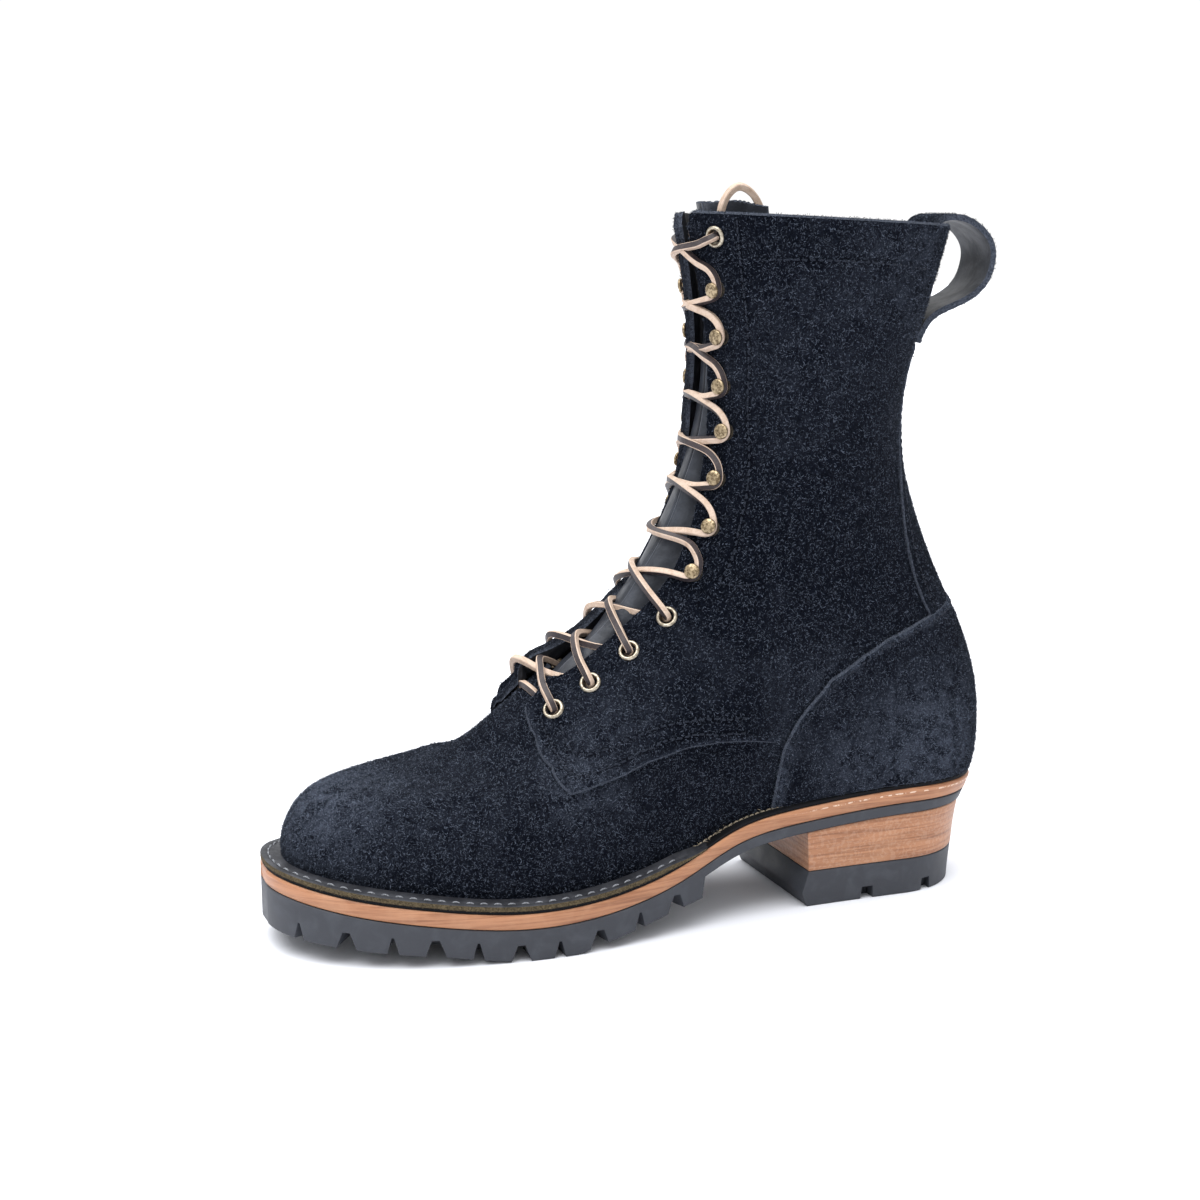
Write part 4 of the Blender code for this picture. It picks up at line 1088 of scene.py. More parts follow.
class MeshDraft:
    """Points, faces and point values gathered before they become one mesh."""

    def __init__(self) -> None:
        """Starts an empty draft."""
        self.points: list[Array] = []
        self.faces: list[Array] = []
        self.slots: list[Array] = []
        self.values: dict[str, list[tuple[int, Array]]] = {}
        self.count = 0

    def add(self, points: Array, faces: Array, slot: int | Array = 0, **values: Array) -> int:
        """Adds points and the faces between them.

        Args:
            points: Millimetre points.
            faces: Rows of point numbers, counted within these points.
            slot: The material number of the faces.
            values: Named values of the points.

        Returns:
            The number of the first added point.
        """
        start = self.count
        faces = np.asarray(faces, int)
        self.points.append(np.asarray(points, float).reshape(-1, 3))
        if len(faces):
            self.faces.append(faces + start)
            self.slots.append(np.broadcast_to(slot, len(faces)).astype(int))
        for name, value in values.items():
            self.values.setdefault(name, []).append((start, np.asarray(value, float).reshape(-1)))
        self.count += len(self.points[-1])
        return start

    def join(self, faces: Array, slot: int = 0) -> None:
        """Adds faces between points already in the draft.

        Args:
            faces: Rows of point numbers.
            slot: The material number of the faces.
        """
        faces = np.asarray(faces, int)
        self.faces.append(faces)
        self.slots.append(np.full(len(faces), slot))

    def build(
        self, name: str, materials: Sequence[Material], smooth: float = 40.0, closed: bool = True
    ) -> Piece:
        """Makes the mesh object.

        Args:
            name: The object's name.
            materials: Its materials, in the order of the slots.
            smooth: Edges bent by more degrees than this stay sharp.
            closed: Whether every body is closed, so that its faces can be turned outwards.

        Returns:
            The object, linked to the scene.
        """
        mesh = bpy.data.meshes.new(name)
        points = SOLE.to_frame(np.concatenate(self.points))
        lengths = np.concatenate([np.full(len(faces), faces.shape[1]) for faces in self.faces])
        corners = np.concatenate([faces.reshape(-1) for faces in self.faces])
        mesh.vertices.add(len(points))
        mesh.vertices.foreach_set("co", points.astype(np.float32).reshape(-1))
        mesh.loops.add(len(corners))
        mesh.loops.foreach_set("vertex_index", corners.astype(np.int32))
        mesh.polygons.add(len(lengths))
        starts = np.concatenate([[0], np.cumsum(lengths)[:-1]])
        mesh.polygons.foreach_set("loop_start", starts.astype(np.int32))
        mesh.polygons.foreach_set("material_index", np.concatenate(self.slots).astype(np.int32))
        mesh.update(calc_edges=True)
        for label, parts in self.values.items():
            full = np.zeros(len(points), np.float32)
            for start, value in parts:
                full[start : start + len(value)] = value
            mesh.attributes.new(label, "FLOAT", "POINT").data.foreach_set("value", full)
        for material in materials:
            mesh.materials.append(material)
        if closed:
            shape = bmesh.new()
            shape.from_mesh(mesh)
            bmesh.ops.recalc_face_normals(shape, faces=shape.faces)
            shape.to_mesh(mesh)
            shape.free()
        mesh.shade_smooth()
        mesh.set_sharp_from_angle(angle=math.radians(smooth))
        obj = bpy.data.objects.new(name, mesh)
        bpy.context.scene.collection.objects.link(obj)
        return obj


def grid_faces(rows: int, columns: int, ring: bool = False) -> Array:
    """Quads of a grid of points.

    Args:
        rows: Points up.
        columns: Points across.
        ring: Whether the last column joins the first.

    Returns:
        Rows of four point numbers.
    """
    across = columns if ring else columns - 1
    row, column = np.meshgrid(np.arange(rows - 1), np.arange(across), indexing="ij")
    after = (column + 1) % columns
    here = row * columns
    quads = [here + column, here + after, here + columns + after, here + columns + column]
    return np.stack(quads, -1).reshape(-1, 4)


def shell_piece(
    name: str, outside: Array, inside: Array, materials: Sequence[Material],
    slots: tuple[int, int, int] = (0, 1, 2), bulge: float = 0.3, **values: Array,
) -> Piece:
    """A sheet with thickness and soft raw rims.

    Args:
        name: Its name.
        outside: A grid of points of the outer face.
        inside: The matching grid of the inner face.
        materials: Its materials.
        slots: Material numbers of the outer face, the inner face and the rims.
        bulge: How far the rims bulge, in millimetres.
        values: Named values of the outer points.

    Returns:
        The sheet.
    """
    draft = MeshDraft()
    rows, columns = outside.shape[:2]
    faces = grid_faces(rows, columns)
    first = draft.add(outside, faces, slots[0], **values)
    second = draft.add(inside, faces[:, ::-1], slots[1])
    number = np.arange(rows * columns).reshape(rows, columns)
    loop = np.concatenate([number[0, :-1], number[:-1, -1], number[-1, :0:-1], number[:0:-1, 0]])
    flat_out = outside.reshape(-1, 3)[loop]
    flat_in = inside.reshape(-1, 3)[loop]
    centre = (flat_out + flat_in) / 2
    along = np.roll(centre, -1, 0) - np.roll(centre, 1, 0)
    outward = unit(np.cross(along, flat_out - flat_in))
    rim = np.arange(len(loop)) + draft.add(centre + outward * bulge, np.zeros((0, 4)))
    rim_after, loop_after = np.roll(rim, -1), np.roll(loop, -1)
    draft.join(np.stack([loop + first, rim, rim_after, loop_after + first], 1), slots[2])
    draft.join(np.stack([rim, loop + second, loop_after + second, rim_after], 1), slots[2])
    return draft.build(name, materials)


def loft_piece(
    name: str, loops: Array, materials: Sequence[Material], smooth: float = 40.0,
    slots: int | Array = 0, **values: Array,
) -> Piece:
    """A closed body through loops of equal length.

    Args:
        name: Its name.
        loops: Points by loop and by place in the loop.
        materials: Its materials.
        smooth: Edges bent by more degrees than this stay sharp.
        slots: The material number of every face, or of each place in the loop.
        values: Named values of the points.

    Returns:
        The body.
    """
    draft = MeshDraft()
    loops = np.asarray(loops, float)
    rows, columns = loops.shape[:2]
    slots = np.broadcast_to(slots, columns)
    draft.add(loops, grid_faces(rows, columns, ring=True), np.tile(slots, rows - 1), **values)
    draft.join(np.arange(columns)[None, ::-1], int(slots[0]))
    draft.join(np.arange((rows - 1) * columns, rows * columns)[None, :], int(slots[0]))
    return draft.build(name, materials, smooth)


def add_turned(
    draft: MeshDraft, profile: Pairs, centre: Array, axis: Array, steps: int, slot: int = 0
) -> None:
    """Adds a turned piece.

    Args:
        draft: Where it goes.
        profile: Radius and height of each point, from the axis or round a closed ring.
        centre: The place of height 0 on the axis.
        axis: The axis's unit direction.
        steps: Points round the axis.
        slot: The material number.
    """
    helper = np.array([0.0, 0.0, 1.0]) if abs(axis[2]) < 0.9 else np.array([1.0, 0.0, 0.0])
    first = unit(np.cross(axis, helper))
    second = np.cross(axis, first)
    angle = np.linspace(0, 2 * math.pi, steps, endpoint=False)
    ring = np.cos(angle)[:, None] * first + np.sin(angle)[:, None] * second
    radius = np.array([max(row[0], 0.02) for row in profile])
    height = np.array([row[1] for row in profile])
    points = centre + radius[:, None, None] * ring[None] + height[:, None, None] * axis
    start = draft.add(points, grid_faces(len(profile), steps, ring=True), slot)
    if profile[0] != profile[-1]:
        draft.join(np.arange(start + steps - 1, start - 1, -1)[None, :], slot)
        last = start + (len(profile) - 1) * steps
        draft.join(np.arange(last, last + steps)[None, :], slot)


def add_capsules(draft: MeshDraft, starts: Array, stops: Array, normals: Array, radius: float) -> None:
    """Adds stitches: short rounded rods that dip at both ends.

    Args:
        draft: Where they go.
        starts: One end of each stitch.
        stops: The other end.
        normals: The outward unit direction at each stitch.
        radius: Half the thread's thickness.
    """
    places = np.array([0.0, 0.12, 0.35, 0.65, 0.88, 1.0])
    girth = np.array([0.25, 0.8, 1.0, 1.0, 0.8, 0.25]) * radius
    lift = np.array([-0.9, -0.1, 0.45, 0.45, -0.1, -0.9]) * radius
    sides = 6
    angle = np.linspace(0, 2 * math.pi, sides, endpoint=False)
    across = unit(np.cross(normals, stops - starts))
    ring = np.cos(angle)[None, :, None] * across[:, None] + np.sin(angle)[None, :, None] * normals[:, None]
    spine = starts[:, None] + (stops - starts)[:, None] * places[None, :, None]
    spine = spine + normals[:, None] * lift[None, :, None]
    points = spine[:, :, None] + ring[:, None] * girth[None, :, None, None]
    each = len(places) * sides
    faces = grid_faces(len(places), sides, ring=True)
    shifts = np.arange(len(starts))[:, None, None] * each
    first = draft.add(points, (faces[None] + shifts).reshape(-1, 4))
    caps = np.stack([np.arange(sides)[::-1], np.arange(each - sides, each)])
    draft.join((caps[None] + shifts + first).reshape(-1, sides))


def ribbon_loops(path: Array, normals: Array, half: tuple[float, float], roll: Array) -> Array:
    """Sections of a lace of rounded rectangular section along a path.

    Args:
        path: The middle line.
        normals: A direction across the path at each point.
        half: Half the width and half the thickness.
        roll: How far the section is turned about the path at each point, in radians.

    Returns:
        Loops of points.
    """
    along = unit(np.gradient(path, axis=0))
    across = unit(np.cross(along, normals))
    up = np.cross(across, along)
    turn, lean = np.cos(roll)[:, None], np.sin(roll)[:, None]
    wide = across * turn + up * lean
    thick = up * turn - across * lean
    a, b = half
    inset = 0.34
    corners = np.array(
        [
            (a, -b + inset), (a, b - inset), (a - inset, b), (-a + inset, b),
            (-a, b - inset), (-a, -b + inset), (-a + inset, -b), (a - inset, -b),
        ]
    )
    return path[:, None] + wide[:, None] * corners[None, :, :1] + thick[:, None] * corners[None, :, 1:]


def place_piece(obj: Piece, slot: Slot, *nodes: str) -> Piece:
    """Lets a piece ride on the boot and hides the CAD nodes that it stands for.

    Args:
        obj: The piece.
        slot: The record's material slot; not used.
        nodes: The CAD nodes that it replaces.

    Returns:
        The piece.
    """
    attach(obj, ROOT)
    if nodes:
        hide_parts(*nodes)
    log.info("%s: %d faces", obj.name, len(obj.data.polygons))
    return obj


def carve(obj: Piece, cutters: Sequence[Piece], bevel: float = 0.0) -> None:
    """Cuts bodies from a piece for good.

    Args:
        obj: The piece.
        cutters: The bodies, removed afterwards.
        bevel: The width of the softened edges, in millimetres.
    """
    group = bpy.data.collections.new(f"{obj.name}_cutters")
    for cutter in cutters:
        group.objects.link(cutter)
    cut = obj.modifiers.new("Cut", "BOOLEAN")
    cut.operation = "DIFFERENCE"
    cut.solver = "EXACT"
    cut.operand_type = "COLLECTION"
    cut.collection = group
    if bevel:
        soften = obj.modifiers.new("Soften", "BEVEL")
        soften.width = bevel * MM
        soften.segments = 2
        soften.limit_method = "ANGLE"
        soften.angle_limit = math.radians(50)
    graph = bpy.context.evaluated_depsgraph_get()
    mesh = bpy.data.meshes.new_from_object(obj.evaluated_get(graph))
    obj.modifiers.clear()
    obj.data = mesh
    for cutter in list(group.objects):
        bpy.data.objects.remove(cutter)
    bpy.data.collections.remove(group)
    mesh.shade_smooth()
    mesh.set_sharp_from_angle(angle=math.radians(35))


def fold_offset(points: Array) -> Array:
    """How far the listed folds move the upper outwards.

    Args:
        points: Points of the upper.

    Returns:
        Millimetres at each point.
    """
    flat = points[..., [0, 2]]
    moved = np.zeros(points.shape[:-1])
    for fold in FOLDS:
        start = np.array(fold.start)
        along = np.array(fold.stop) - start
        share = np.clip(((flat - start) @ along) / (along @ along), 0, 1)
        away = np.linalg.norm(flat - start - share[..., None] * along, axis=-1)
        ends = np.sin(np.clip(share, 0.02, 0.98) * math.pi) ** 0.5
        moved += fold.depth * np.exp(-((away / fold.width) ** 2)) * ends
    return moved


def folded_skin(level: Array, around: Array, raised: bool = True) -> tuple[Array, Array]:
    """The upper's outside with its folds.

    Args:
        level: Levels.
        around: Places around the boot.
        raised: Whether the points stand out as the quarters do.

    Returns:
        Points and the outward directions there.
    """
    surface = LAST_FORM.skin if raised else LAST_FORM.point
    points = surface(level, around)
    normals = LAST_FORM.axes(level, around)[2]
    return points + normals * fold_offset(points)[..., None], normals


def brushed_and_lit_value(points: Array) -> Array:
    """How much lighter the nap is, alike on both sides: rubbed patches, and a painted highlight on the toe's
    top.

    Args:
        points: Points of the upper.

    Returns:
        Values from 0 to 1.
    """
    mirrored = np.array(points)
    mirrored[..., 1] = np.abs(mirrored[..., 1])
    total = np.zeros(points.shape[:-1])
    for spot in BRUSHED_AND_LIT:
        away = np.linalg.norm(mirrored - spot[:3], axis=-1) / spot.radius
        total = np.maximum(total, spot.strength * np.exp(-(away**2)))
    return total


@dataclass
class StitchRow:
    """A row of stitches on the upper."""

    path: Array
    normals: Array
    pitch: float = 3.2
    thread: float = 0.42

    def add_to(self, draft: MeshDraft) -> None:
        """Adds the row's stitches to a draft.

        Args:
            draft: Where they go.
        """
        table = np.concatenate([self.path, self.normals], 1)
        fine = smooth_path(table, self.pitch)
        step = np.diff(fine[:, :3], axis=0)
        starts = fine[:-1, :3] + step * 0.12
        add_capsules(draft, starts, starts + step * 0.76, unit(fine[:-1, 3:]), self.thread)

    def marks(self) -> Array:
        """Close points along the row."""
        return smooth_path(self.path, 1.0)


def surface_row(places: Array, side: Side, clear: float) -> StitchRow:
    """A row of stitches through places of the quarters.

    Args:
        places: Rows of level and around, as on the outer side.
        side: The side of the foot.
        clear: How far above the skin, in millimetres.

    Returns:
        The row.
    """
    level = places[:, 0]
    around = places[:, 1] * side.value
    points = LAST_FORM.skin(level, around)
    normals = LAST_FORM.axes(level, around)[2]
    points = points + normals * (fold_offset(points) + clear)[:, None]
    return StitchRow(points, normals)


def seam_value(points: Array, marks: Array, width: float = 1.3) -> Array:
    """How near points are to rows of stitches.

    Args:
        points: Points of a panel.
        marks: Close points along the rows.
        width: How far the seam's dark line reaches, in millimetres.

    Returns:
        Values from 0 to 1.
    """
    tree = KDTree(len(marks))
    for number, mark in enumerate(marks):
        tree.insert(mark, number)
    tree.balance()
    flat = points.reshape(-1, 3)
    away = np.array([tree.find(point)[2] for point in flat])
    return np.exp(-((away / width) ** 2)).reshape(points.shape[:-1])


def read_rows(rows: bpy.types.bpy_prop_collection, name: str, width: int, kind: type) -> Array:
    """A property of many mesh elements.

    Args:
        rows: The elements.
        name: The property's name.
        width: How many numbers each element has.
        kind: The numbers' type.

    Returns:
        One row for each element.
    """
    values = np.empty(len(rows) * width, kind)
    rows.foreach_get(name, values)
    return values.reshape(-1, width)


@dataclass(frozen=True)
class Nap:
    """Loose fibres standing on a suede face."""

    length: tuple[float, float] = (0.7, 1.9)
    width: float = 0.24
    lift: tuple[float, float] = (0.12, 0.75)
    light_share: float = 0.30
    sunk: float = 0.05

    def grow(
        self, source: Piece, name: str, material: Material, face: int = 0, slot: Slot = Slot.SUEDE
    ) -> None:
        """Grows fibres on the faces of one material, as one joined mesh.

        Args:
            source: The suede piece.
            name: The new piece's name, which has its count and seed in the table.
            material: The fibres' material.
            face: The material number of the faces they grow on.
            slot: The record's material slot.
        """
        mesh = source.data
        mesh.calc_loop_triangles()
        points = read_rows(mesh.vertices, "co", 3, np.float32).astype(float) / MM
        points = points + [SOLE.mid_station, SOLE.mid_side, 0.0]
        corners = read_rows(mesh.loop_triangles, "vertices", 3, np.int32)
        corners = corners[read_rows(mesh.loop_triangles, "material_index", 1, np.int32)[:, 0] == face]
        wear = np.zeros(len(points), np.float32)
        if "wear" in mesh.attributes:
            wear = read_rows(mesh.attributes["wear"].data, "value", 1, np.float32)[:, 0]
        count, seed = FIBRES[name]
        rng = np.random.default_rng(seed)
        start, *ends = (points[corners[:, number]] for number in range(3))
        cross = np.cross(ends[0] - start, ends[1] - start)
        area = np.linalg.norm(cross, axis=1)
        chosen = rng.choice(len(corners), count, p=area / area.sum())
        share = rng.random((count, 2))
        over = share.sum(1) > 1
        share[over] = 1 - share[over]
        weights = np.concatenate([1 - share.sum(1, keepdims=True), share], 1)
        root = (points[corners[chosen]] * weights[..., None]).sum(1)
        # Fibres are lighter where the nap beneath is lighter, the painted highlight included.
        bright = (wear[corners[chosen]] * weights).sum(1)
        normal = unit(cross[chosen])
        lean = unit(np.cross(normal, rng.normal(size=(count, 3))))
        second = unit(lean + 0.9 * np.cross(normal, lean) * rng.normal(size=(count, 1)))
        length = rng.uniform(*self.length, (count, 1))
        lift = rng.uniform(*self.lift, (count, 1))
        middle = root + (lean * np.cos(lift) + normal * np.sin(lift)) * length * 0.5
        tip = middle + (second * np.cos(lift * 0.3) + normal * np.sin(lift * 0.3)) * length * 0.5
        root = root - normal * self.sunk
        across = np.cross(normal, lean) * (self.width / 2 * rng.uniform(0.6, 1.5, (count, 1)))
        shape = np.stack([root, middle - across, middle + across, tip], 1)
        shifts = np.arange(count)[:, None] * 4
        tone = np.clip(rng.beta(1.1, 3.0, count) * (1 + self.light_share) + 0.45 * bright, 0, 1)
        draft = MeshDraft()
        draft.add(shape, np.array([[0, 2, 1]]) + shifts, tone=np.repeat(tone, 4))
        draft.join(np.array([[1, 2, 3]]) + shifts)
        place_piece(draft.build(name, [material], 180.0, closed=False), slot)


@dataclass
class Upper:
    """The suede upper: vamp, quarters, counter, backstay and their seams."""

    finishes: Finishes
    wall: float = 2.2
    facing: float = 1.3
    overlay: float = 2.0
    thin_overlay: float = 1.6
    under_overlay: float = 0.05
    rough: float = 0.10
    rim_bulge: float = 0.8
    collar_round: float = 0.12
    counter_reach: float = 250.0
    counter_foot: float = 0.20
    level_rise: float = 14.0
    vamp_reach: float = 0.64
    vamp_foot: float = -0.04
    vamp_top: float = 7.9
    under_flap: float = 0.55
    under_counter: float = 0.60
    fine_to: float = 0.36
    facing_reach: float = 0.05
    facing_blend: float = 0.03
    facing_foot: float = 0.6
    rim_width: float = 2.2
    rim_end: float = 0.62
    rim_wear: float = 0.45
    inner_wear: float = 0.6
    counter_rim: float = 2.6
    counter_wear: float = 0.95
    seams: dict[str, list[StitchRow]] = field(default_factory=dict)

    def _roughen(self, points: Array, normals: Array, seed: int) -> Array:
        """The points moved a little in and out at random."""
        rng = np.random.default_rng(seed)
        return points + normals * rng.normal(0, self.rough, points.shape[:-1])[..., None]

    def _flap_rows(self) -> list[Array]:
        """The rows of stitches round a flap's edge.

        Returns:
            Rows of stations and heights.
        """
        front = smooth_path(np.array(FLAP_EDGE[:5]), 3.0)
        lower = smooth_path(np.array(FLAP_EDGE[4:-1]), 4.0)
        rows = []
        for inset in FLAP_SEAM_INSETS:
            low = sidestep(lower, -inset)
            low = low[low[:, 0] < FLAP_EDGE[4][0] - inset * 0.9]
            ahead = sidestep(front, -inset)
            rows.append(np.concatenate([ahead[ahead[:, 1] > low[0, 1] + 0.5], low]))
        return rows

    def _counter_row(self) -> Array:
        """The row of stitches inside the counter's edge.

        Returns:
            Rows of level and place around.
        """
        start = LAST_FORM.counter_front
        front = np.linspace(0.5, LAST_FORM.counter_level(start), 12)[:-1]
        top = start + (0.985 - start) * np.linspace(0, 1, 60) ** 1.8
        edge = np.concatenate(
            [
                np.stack([np.full_like(front, start), front], 1),
                np.stack([top, LAST_FORM.counter_level(top)], 1),
            ]
        )
        scale = np.array([self.counter_reach, self.level_rise])
        return (sidestep(smooth_path(edge * scale, 4.0), -1.9) / scale)[:, ::-1]

    def _backstay_row(self) -> Array:
        """The row of stitches inside the backstay's edge.

        Returns:
            Rows of level and place around.
        """
        width = table_curve(BACKSTAY, 1)
        level = np.linspace(5.9, 11.7, 24)
        around = [LAST_FORM.side_place(at, float(width(at)) - 2.4) for at in level]
        return np.stack([level, around], 1)

    def lay_seams(self) -> None:
        """Places every row of stitches before the panels are made."""
        flat = (*self._flap_rows(), EYESTAY_SEAM, COLLAR_SEAM, EYESTAY_BAR)
        quarter = [np.array([LAST_FORM.locate(*point) for point in row]) for row in flat]
        counter, backstay = self._counter_row(), self._backstay_row()
        self.seams = {
            "quarter": [surface_row(row, side, 0.15) for side in Side for row in quarter],
            "counter": [surface_row(counter, side, self.overlay + 0.05) for side in Side],
            "backstay": [surface_row(backstay, side, self.thin_overlay - 0.1) for side in Side],
        }

    def marks(self, name: str) -> Array:
        """Close points along the rows of a panel."""
        return np.concatenate([row.marks() for row in self.seams[name]])

    def build_vamp(self) -> Piece:
        """The vamp, from the toe back under the flaps.

        Returns:
            The vamp.
        """
        form = LAST_FORM
        half = np.linspace(0, self.vamp_reach, 96)
        around = np.concatenate([-half[:0:-1], half])
        under = np.minimum(form.flap_level(around) + self.under_flap, self.vamp_top)
        top = np.where(np.abs(around) < form.throat_around, self.vamp_top, under)
        level = self.vamp_foot + (top - self.vamp_foot) * np.linspace(0, 1, 84)[:, None]
        points, normals = folded_skin(level, np.broadcast_to(around, level.shape), raised=False)
        outside = self._roughen(points, normals, 3)
        inside = points - normals * self.wall
        vamp = shell_piece("vamp", outside, inside, self.finishes.panel, wear=brushed_and_lit_value(points))
        return place_piece(vamp, Slot.SUEDE, "upper")

    def build_quarter(self, side: Side) -> Piece:
        """One quarter with its flap and facing, from the flap's edge to the collar.

        Args:
            side: The side of the foot.

        Returns:
            The quarter.
        """
        form = LAST_FORM
        start = form.throat_around
        place = np.concatenate([np.linspace(start, self.fine_to, 76), np.linspace(self.fine_to, 1.0, 74)[1:]])
        low = form.flap_level(place)
        sunk = low + (0.15 - low) * smooth_share((place - self.under_counter) / 0.05)
        low = np.where(place > self.under_counter, sunk, low)
        top = form.collar - self.collar_round * (1 - smooth_share((place - start) / 0.035)) ** 2
        level = low + (top - low) * np.linspace(0, 1, 118)[:, None]
        edge = form.throat_edge(level, side)
        around = (edge + (1 - edge) * (place - start) / (1 - start)) * side.value
        points, normals = folded_skin(level, around)
        outside = self._roughen(points, normals, 5 + side.value)
        from_edge = np.abs(around) - edge
        above = level - low
        behind_facing = smooth_share((from_edge - self.facing_reach) / self.facing_blend)
        thick = self.wall + self.facing * (1 - behind_facing)
        thick = thick - self.facing * (1 - smooth_share(above / self.facing_foot)) * (thick > self.wall)
        rim = np.exp(-((above * self.level_rise) / self.rim_width) ** 2) * (np.abs(around) < self.rim_end)
        brushed_and_lit = brushed_and_lit_value(points) * (self.inner_wear if side is Side.INNER else 1.0)
        wear = np.maximum(brushed_and_lit, self.rim_wear * rim)
        quarter = shell_piece(
            f"quarter_{side.label}", outside, points - normals * thick[..., None], self.finishes.panel,
            bulge=self.rim_bulge, wear=wear, seam=seam_value(points, self.marks("quarter")),
        )
        carve(quarter, [self._eyelet_hole(row, side) for row in LACING if not row.hook])
        return place_piece(quarter, Slot.SUEDE)

    def _eyelet_hole(self, row: LacingRow, side: Side) -> Piece:
        """The body that is cut from a quarter for an eyelet.

        Args:
            row: The eyelet.
            side: The side of the foot.

        Returns:
            The body.
        """
        level, around = LAST_FORM.locate(row.station, row.height)
        around *= side.value
        centre = LAST_FORM.skin(np.array(level), np.array(around))
        draft = MeshDraft()
        add_turned(draft, EYELET_HOLE, centre, LAST_FORM.axes(level, around)[2], 18)
        return draft.build("eyelet_hole", [self.finishes.cut])

    def build_counter(self) -> Piece:
        """The counter over the heel.

        Returns:
            The counter.
        """
        form = LAST_FORM
        half = form.counter_front + (1 - form.counter_front) * np.linspace(0, 1, 84) ** 1.5
        around = np.concatenate([half, -half[-2::-1]])
        rise = form.counter_level(around) - self.counter_foot
        level = self.counter_foot + rise * np.linspace(0, 1, 64)[:, None]
        around = np.broadcast_to(around, level.shape)
        points = form.skin(level, around)
        normals = form.axes(level, around)[2]
        below = (form.counter_level(around) - level) * self.level_rise
        behind = (np.abs(around) - form.counter_front) * self.counter_reach
        rim = np.exp(-((np.minimum(below, behind) / self.counter_rim) ** 2))
        counter = shell_piece(
            "counter_suede", self._roughen(points + normals * self.overlay, normals, 8),
            points + normals * self.under_overlay, self.finishes.panel, bulge=self.rim_bulge,
            wear=np.maximum(brushed_and_lit_value(points), self.counter_wear * rim),
        )
        return place_piece(counter, Slot.SUEDE, "counter")

    def build_backstay(self) -> Piece:
        """The strip up the back seam.

        Returns:
            The strip.
        """
        width = table_curve(BACKSTAY, 1)
        levels = np.linspace(BACKSTAY[0][0], BACKSTAY[-1][0], 70)
        edges = np.array([LAST_FORM.side_place(level, float(width(level))) for level in levels])
        half = edges[:, None] + (1 - edges[:, None]) * np.linspace(0, 1, 26)[None]
        around = np.concatenate([half, -half[:, -2::-1]], 1)
        points, normals = folded_skin(np.broadcast_to(levels[:, None], around.shape), around)
        outer = points + normals * self.thin_overlay
        backstay = shell_piece(
            "backstay_suede", self._roughen(outer, normals, 9), points + normals * self.under_overlay,
            self.finishes.panel, wear=brushed_and_lit_value(points), seam=seam_value(outer, self.marks("backstay")),
        )
        return place_piece(backstay, Slot.SUEDE, "backstay")

    def build_stitches(self) -> None:
        """Builds every stitch of the upper as one mesh."""
        draft = MeshDraft()
        for rows in self.seams.values():
            for row in rows:
                row.add_to(draft)
        place_piece(draft.build("upper_stitches", [self.finishes.thread]), Slot.SUEDE)

    def build(self) -> None:
        """Builds the panels, then their stitches and nap."""
        self.lay_seams()
        fibre = self.finishes.fibre
        nap = Nap()
        fray = Nap((0.5, 1.3), 0.20, (0.3, 1.2), 0.9)
        nap.grow(self.build_vamp(), "vamp_nap", fibre)
        for side in Side:
            quarter = self.build_quarter(side)
            nap.grow(quarter, f"quarter_{side.label}_nap", fibre)
            fray.grow(quarter, f"quarter_{side.label}_fray", fibre, 2)
        counter = self.build_counter()
        nap.grow(counter, "counter_nap", fibre)
        fray.grow(counter, "counter_fray", fibre, 2)
        nap.grow(self.build_backstay(), "backstay_nap", fibre)
        self.build_stitches()


def lowered(height: Curve, depth: float) -> Curve:
    """A height moved down at every station."""
    return lambda station: height(station) - depth


def level_at(height: float) -> Curve:
    """The same height at every station."""
    return lambda station: np.full_like(station, height)


def close_ends(count: int, margin: float) -> Array:
    """Shares from 0 to 1 that lie closer together at both ends, which are held off by a margin."""
    return np.clip((1 - np.cos(np.linspace(0, math.pi, count))) / 2, margin, 1 - margin)


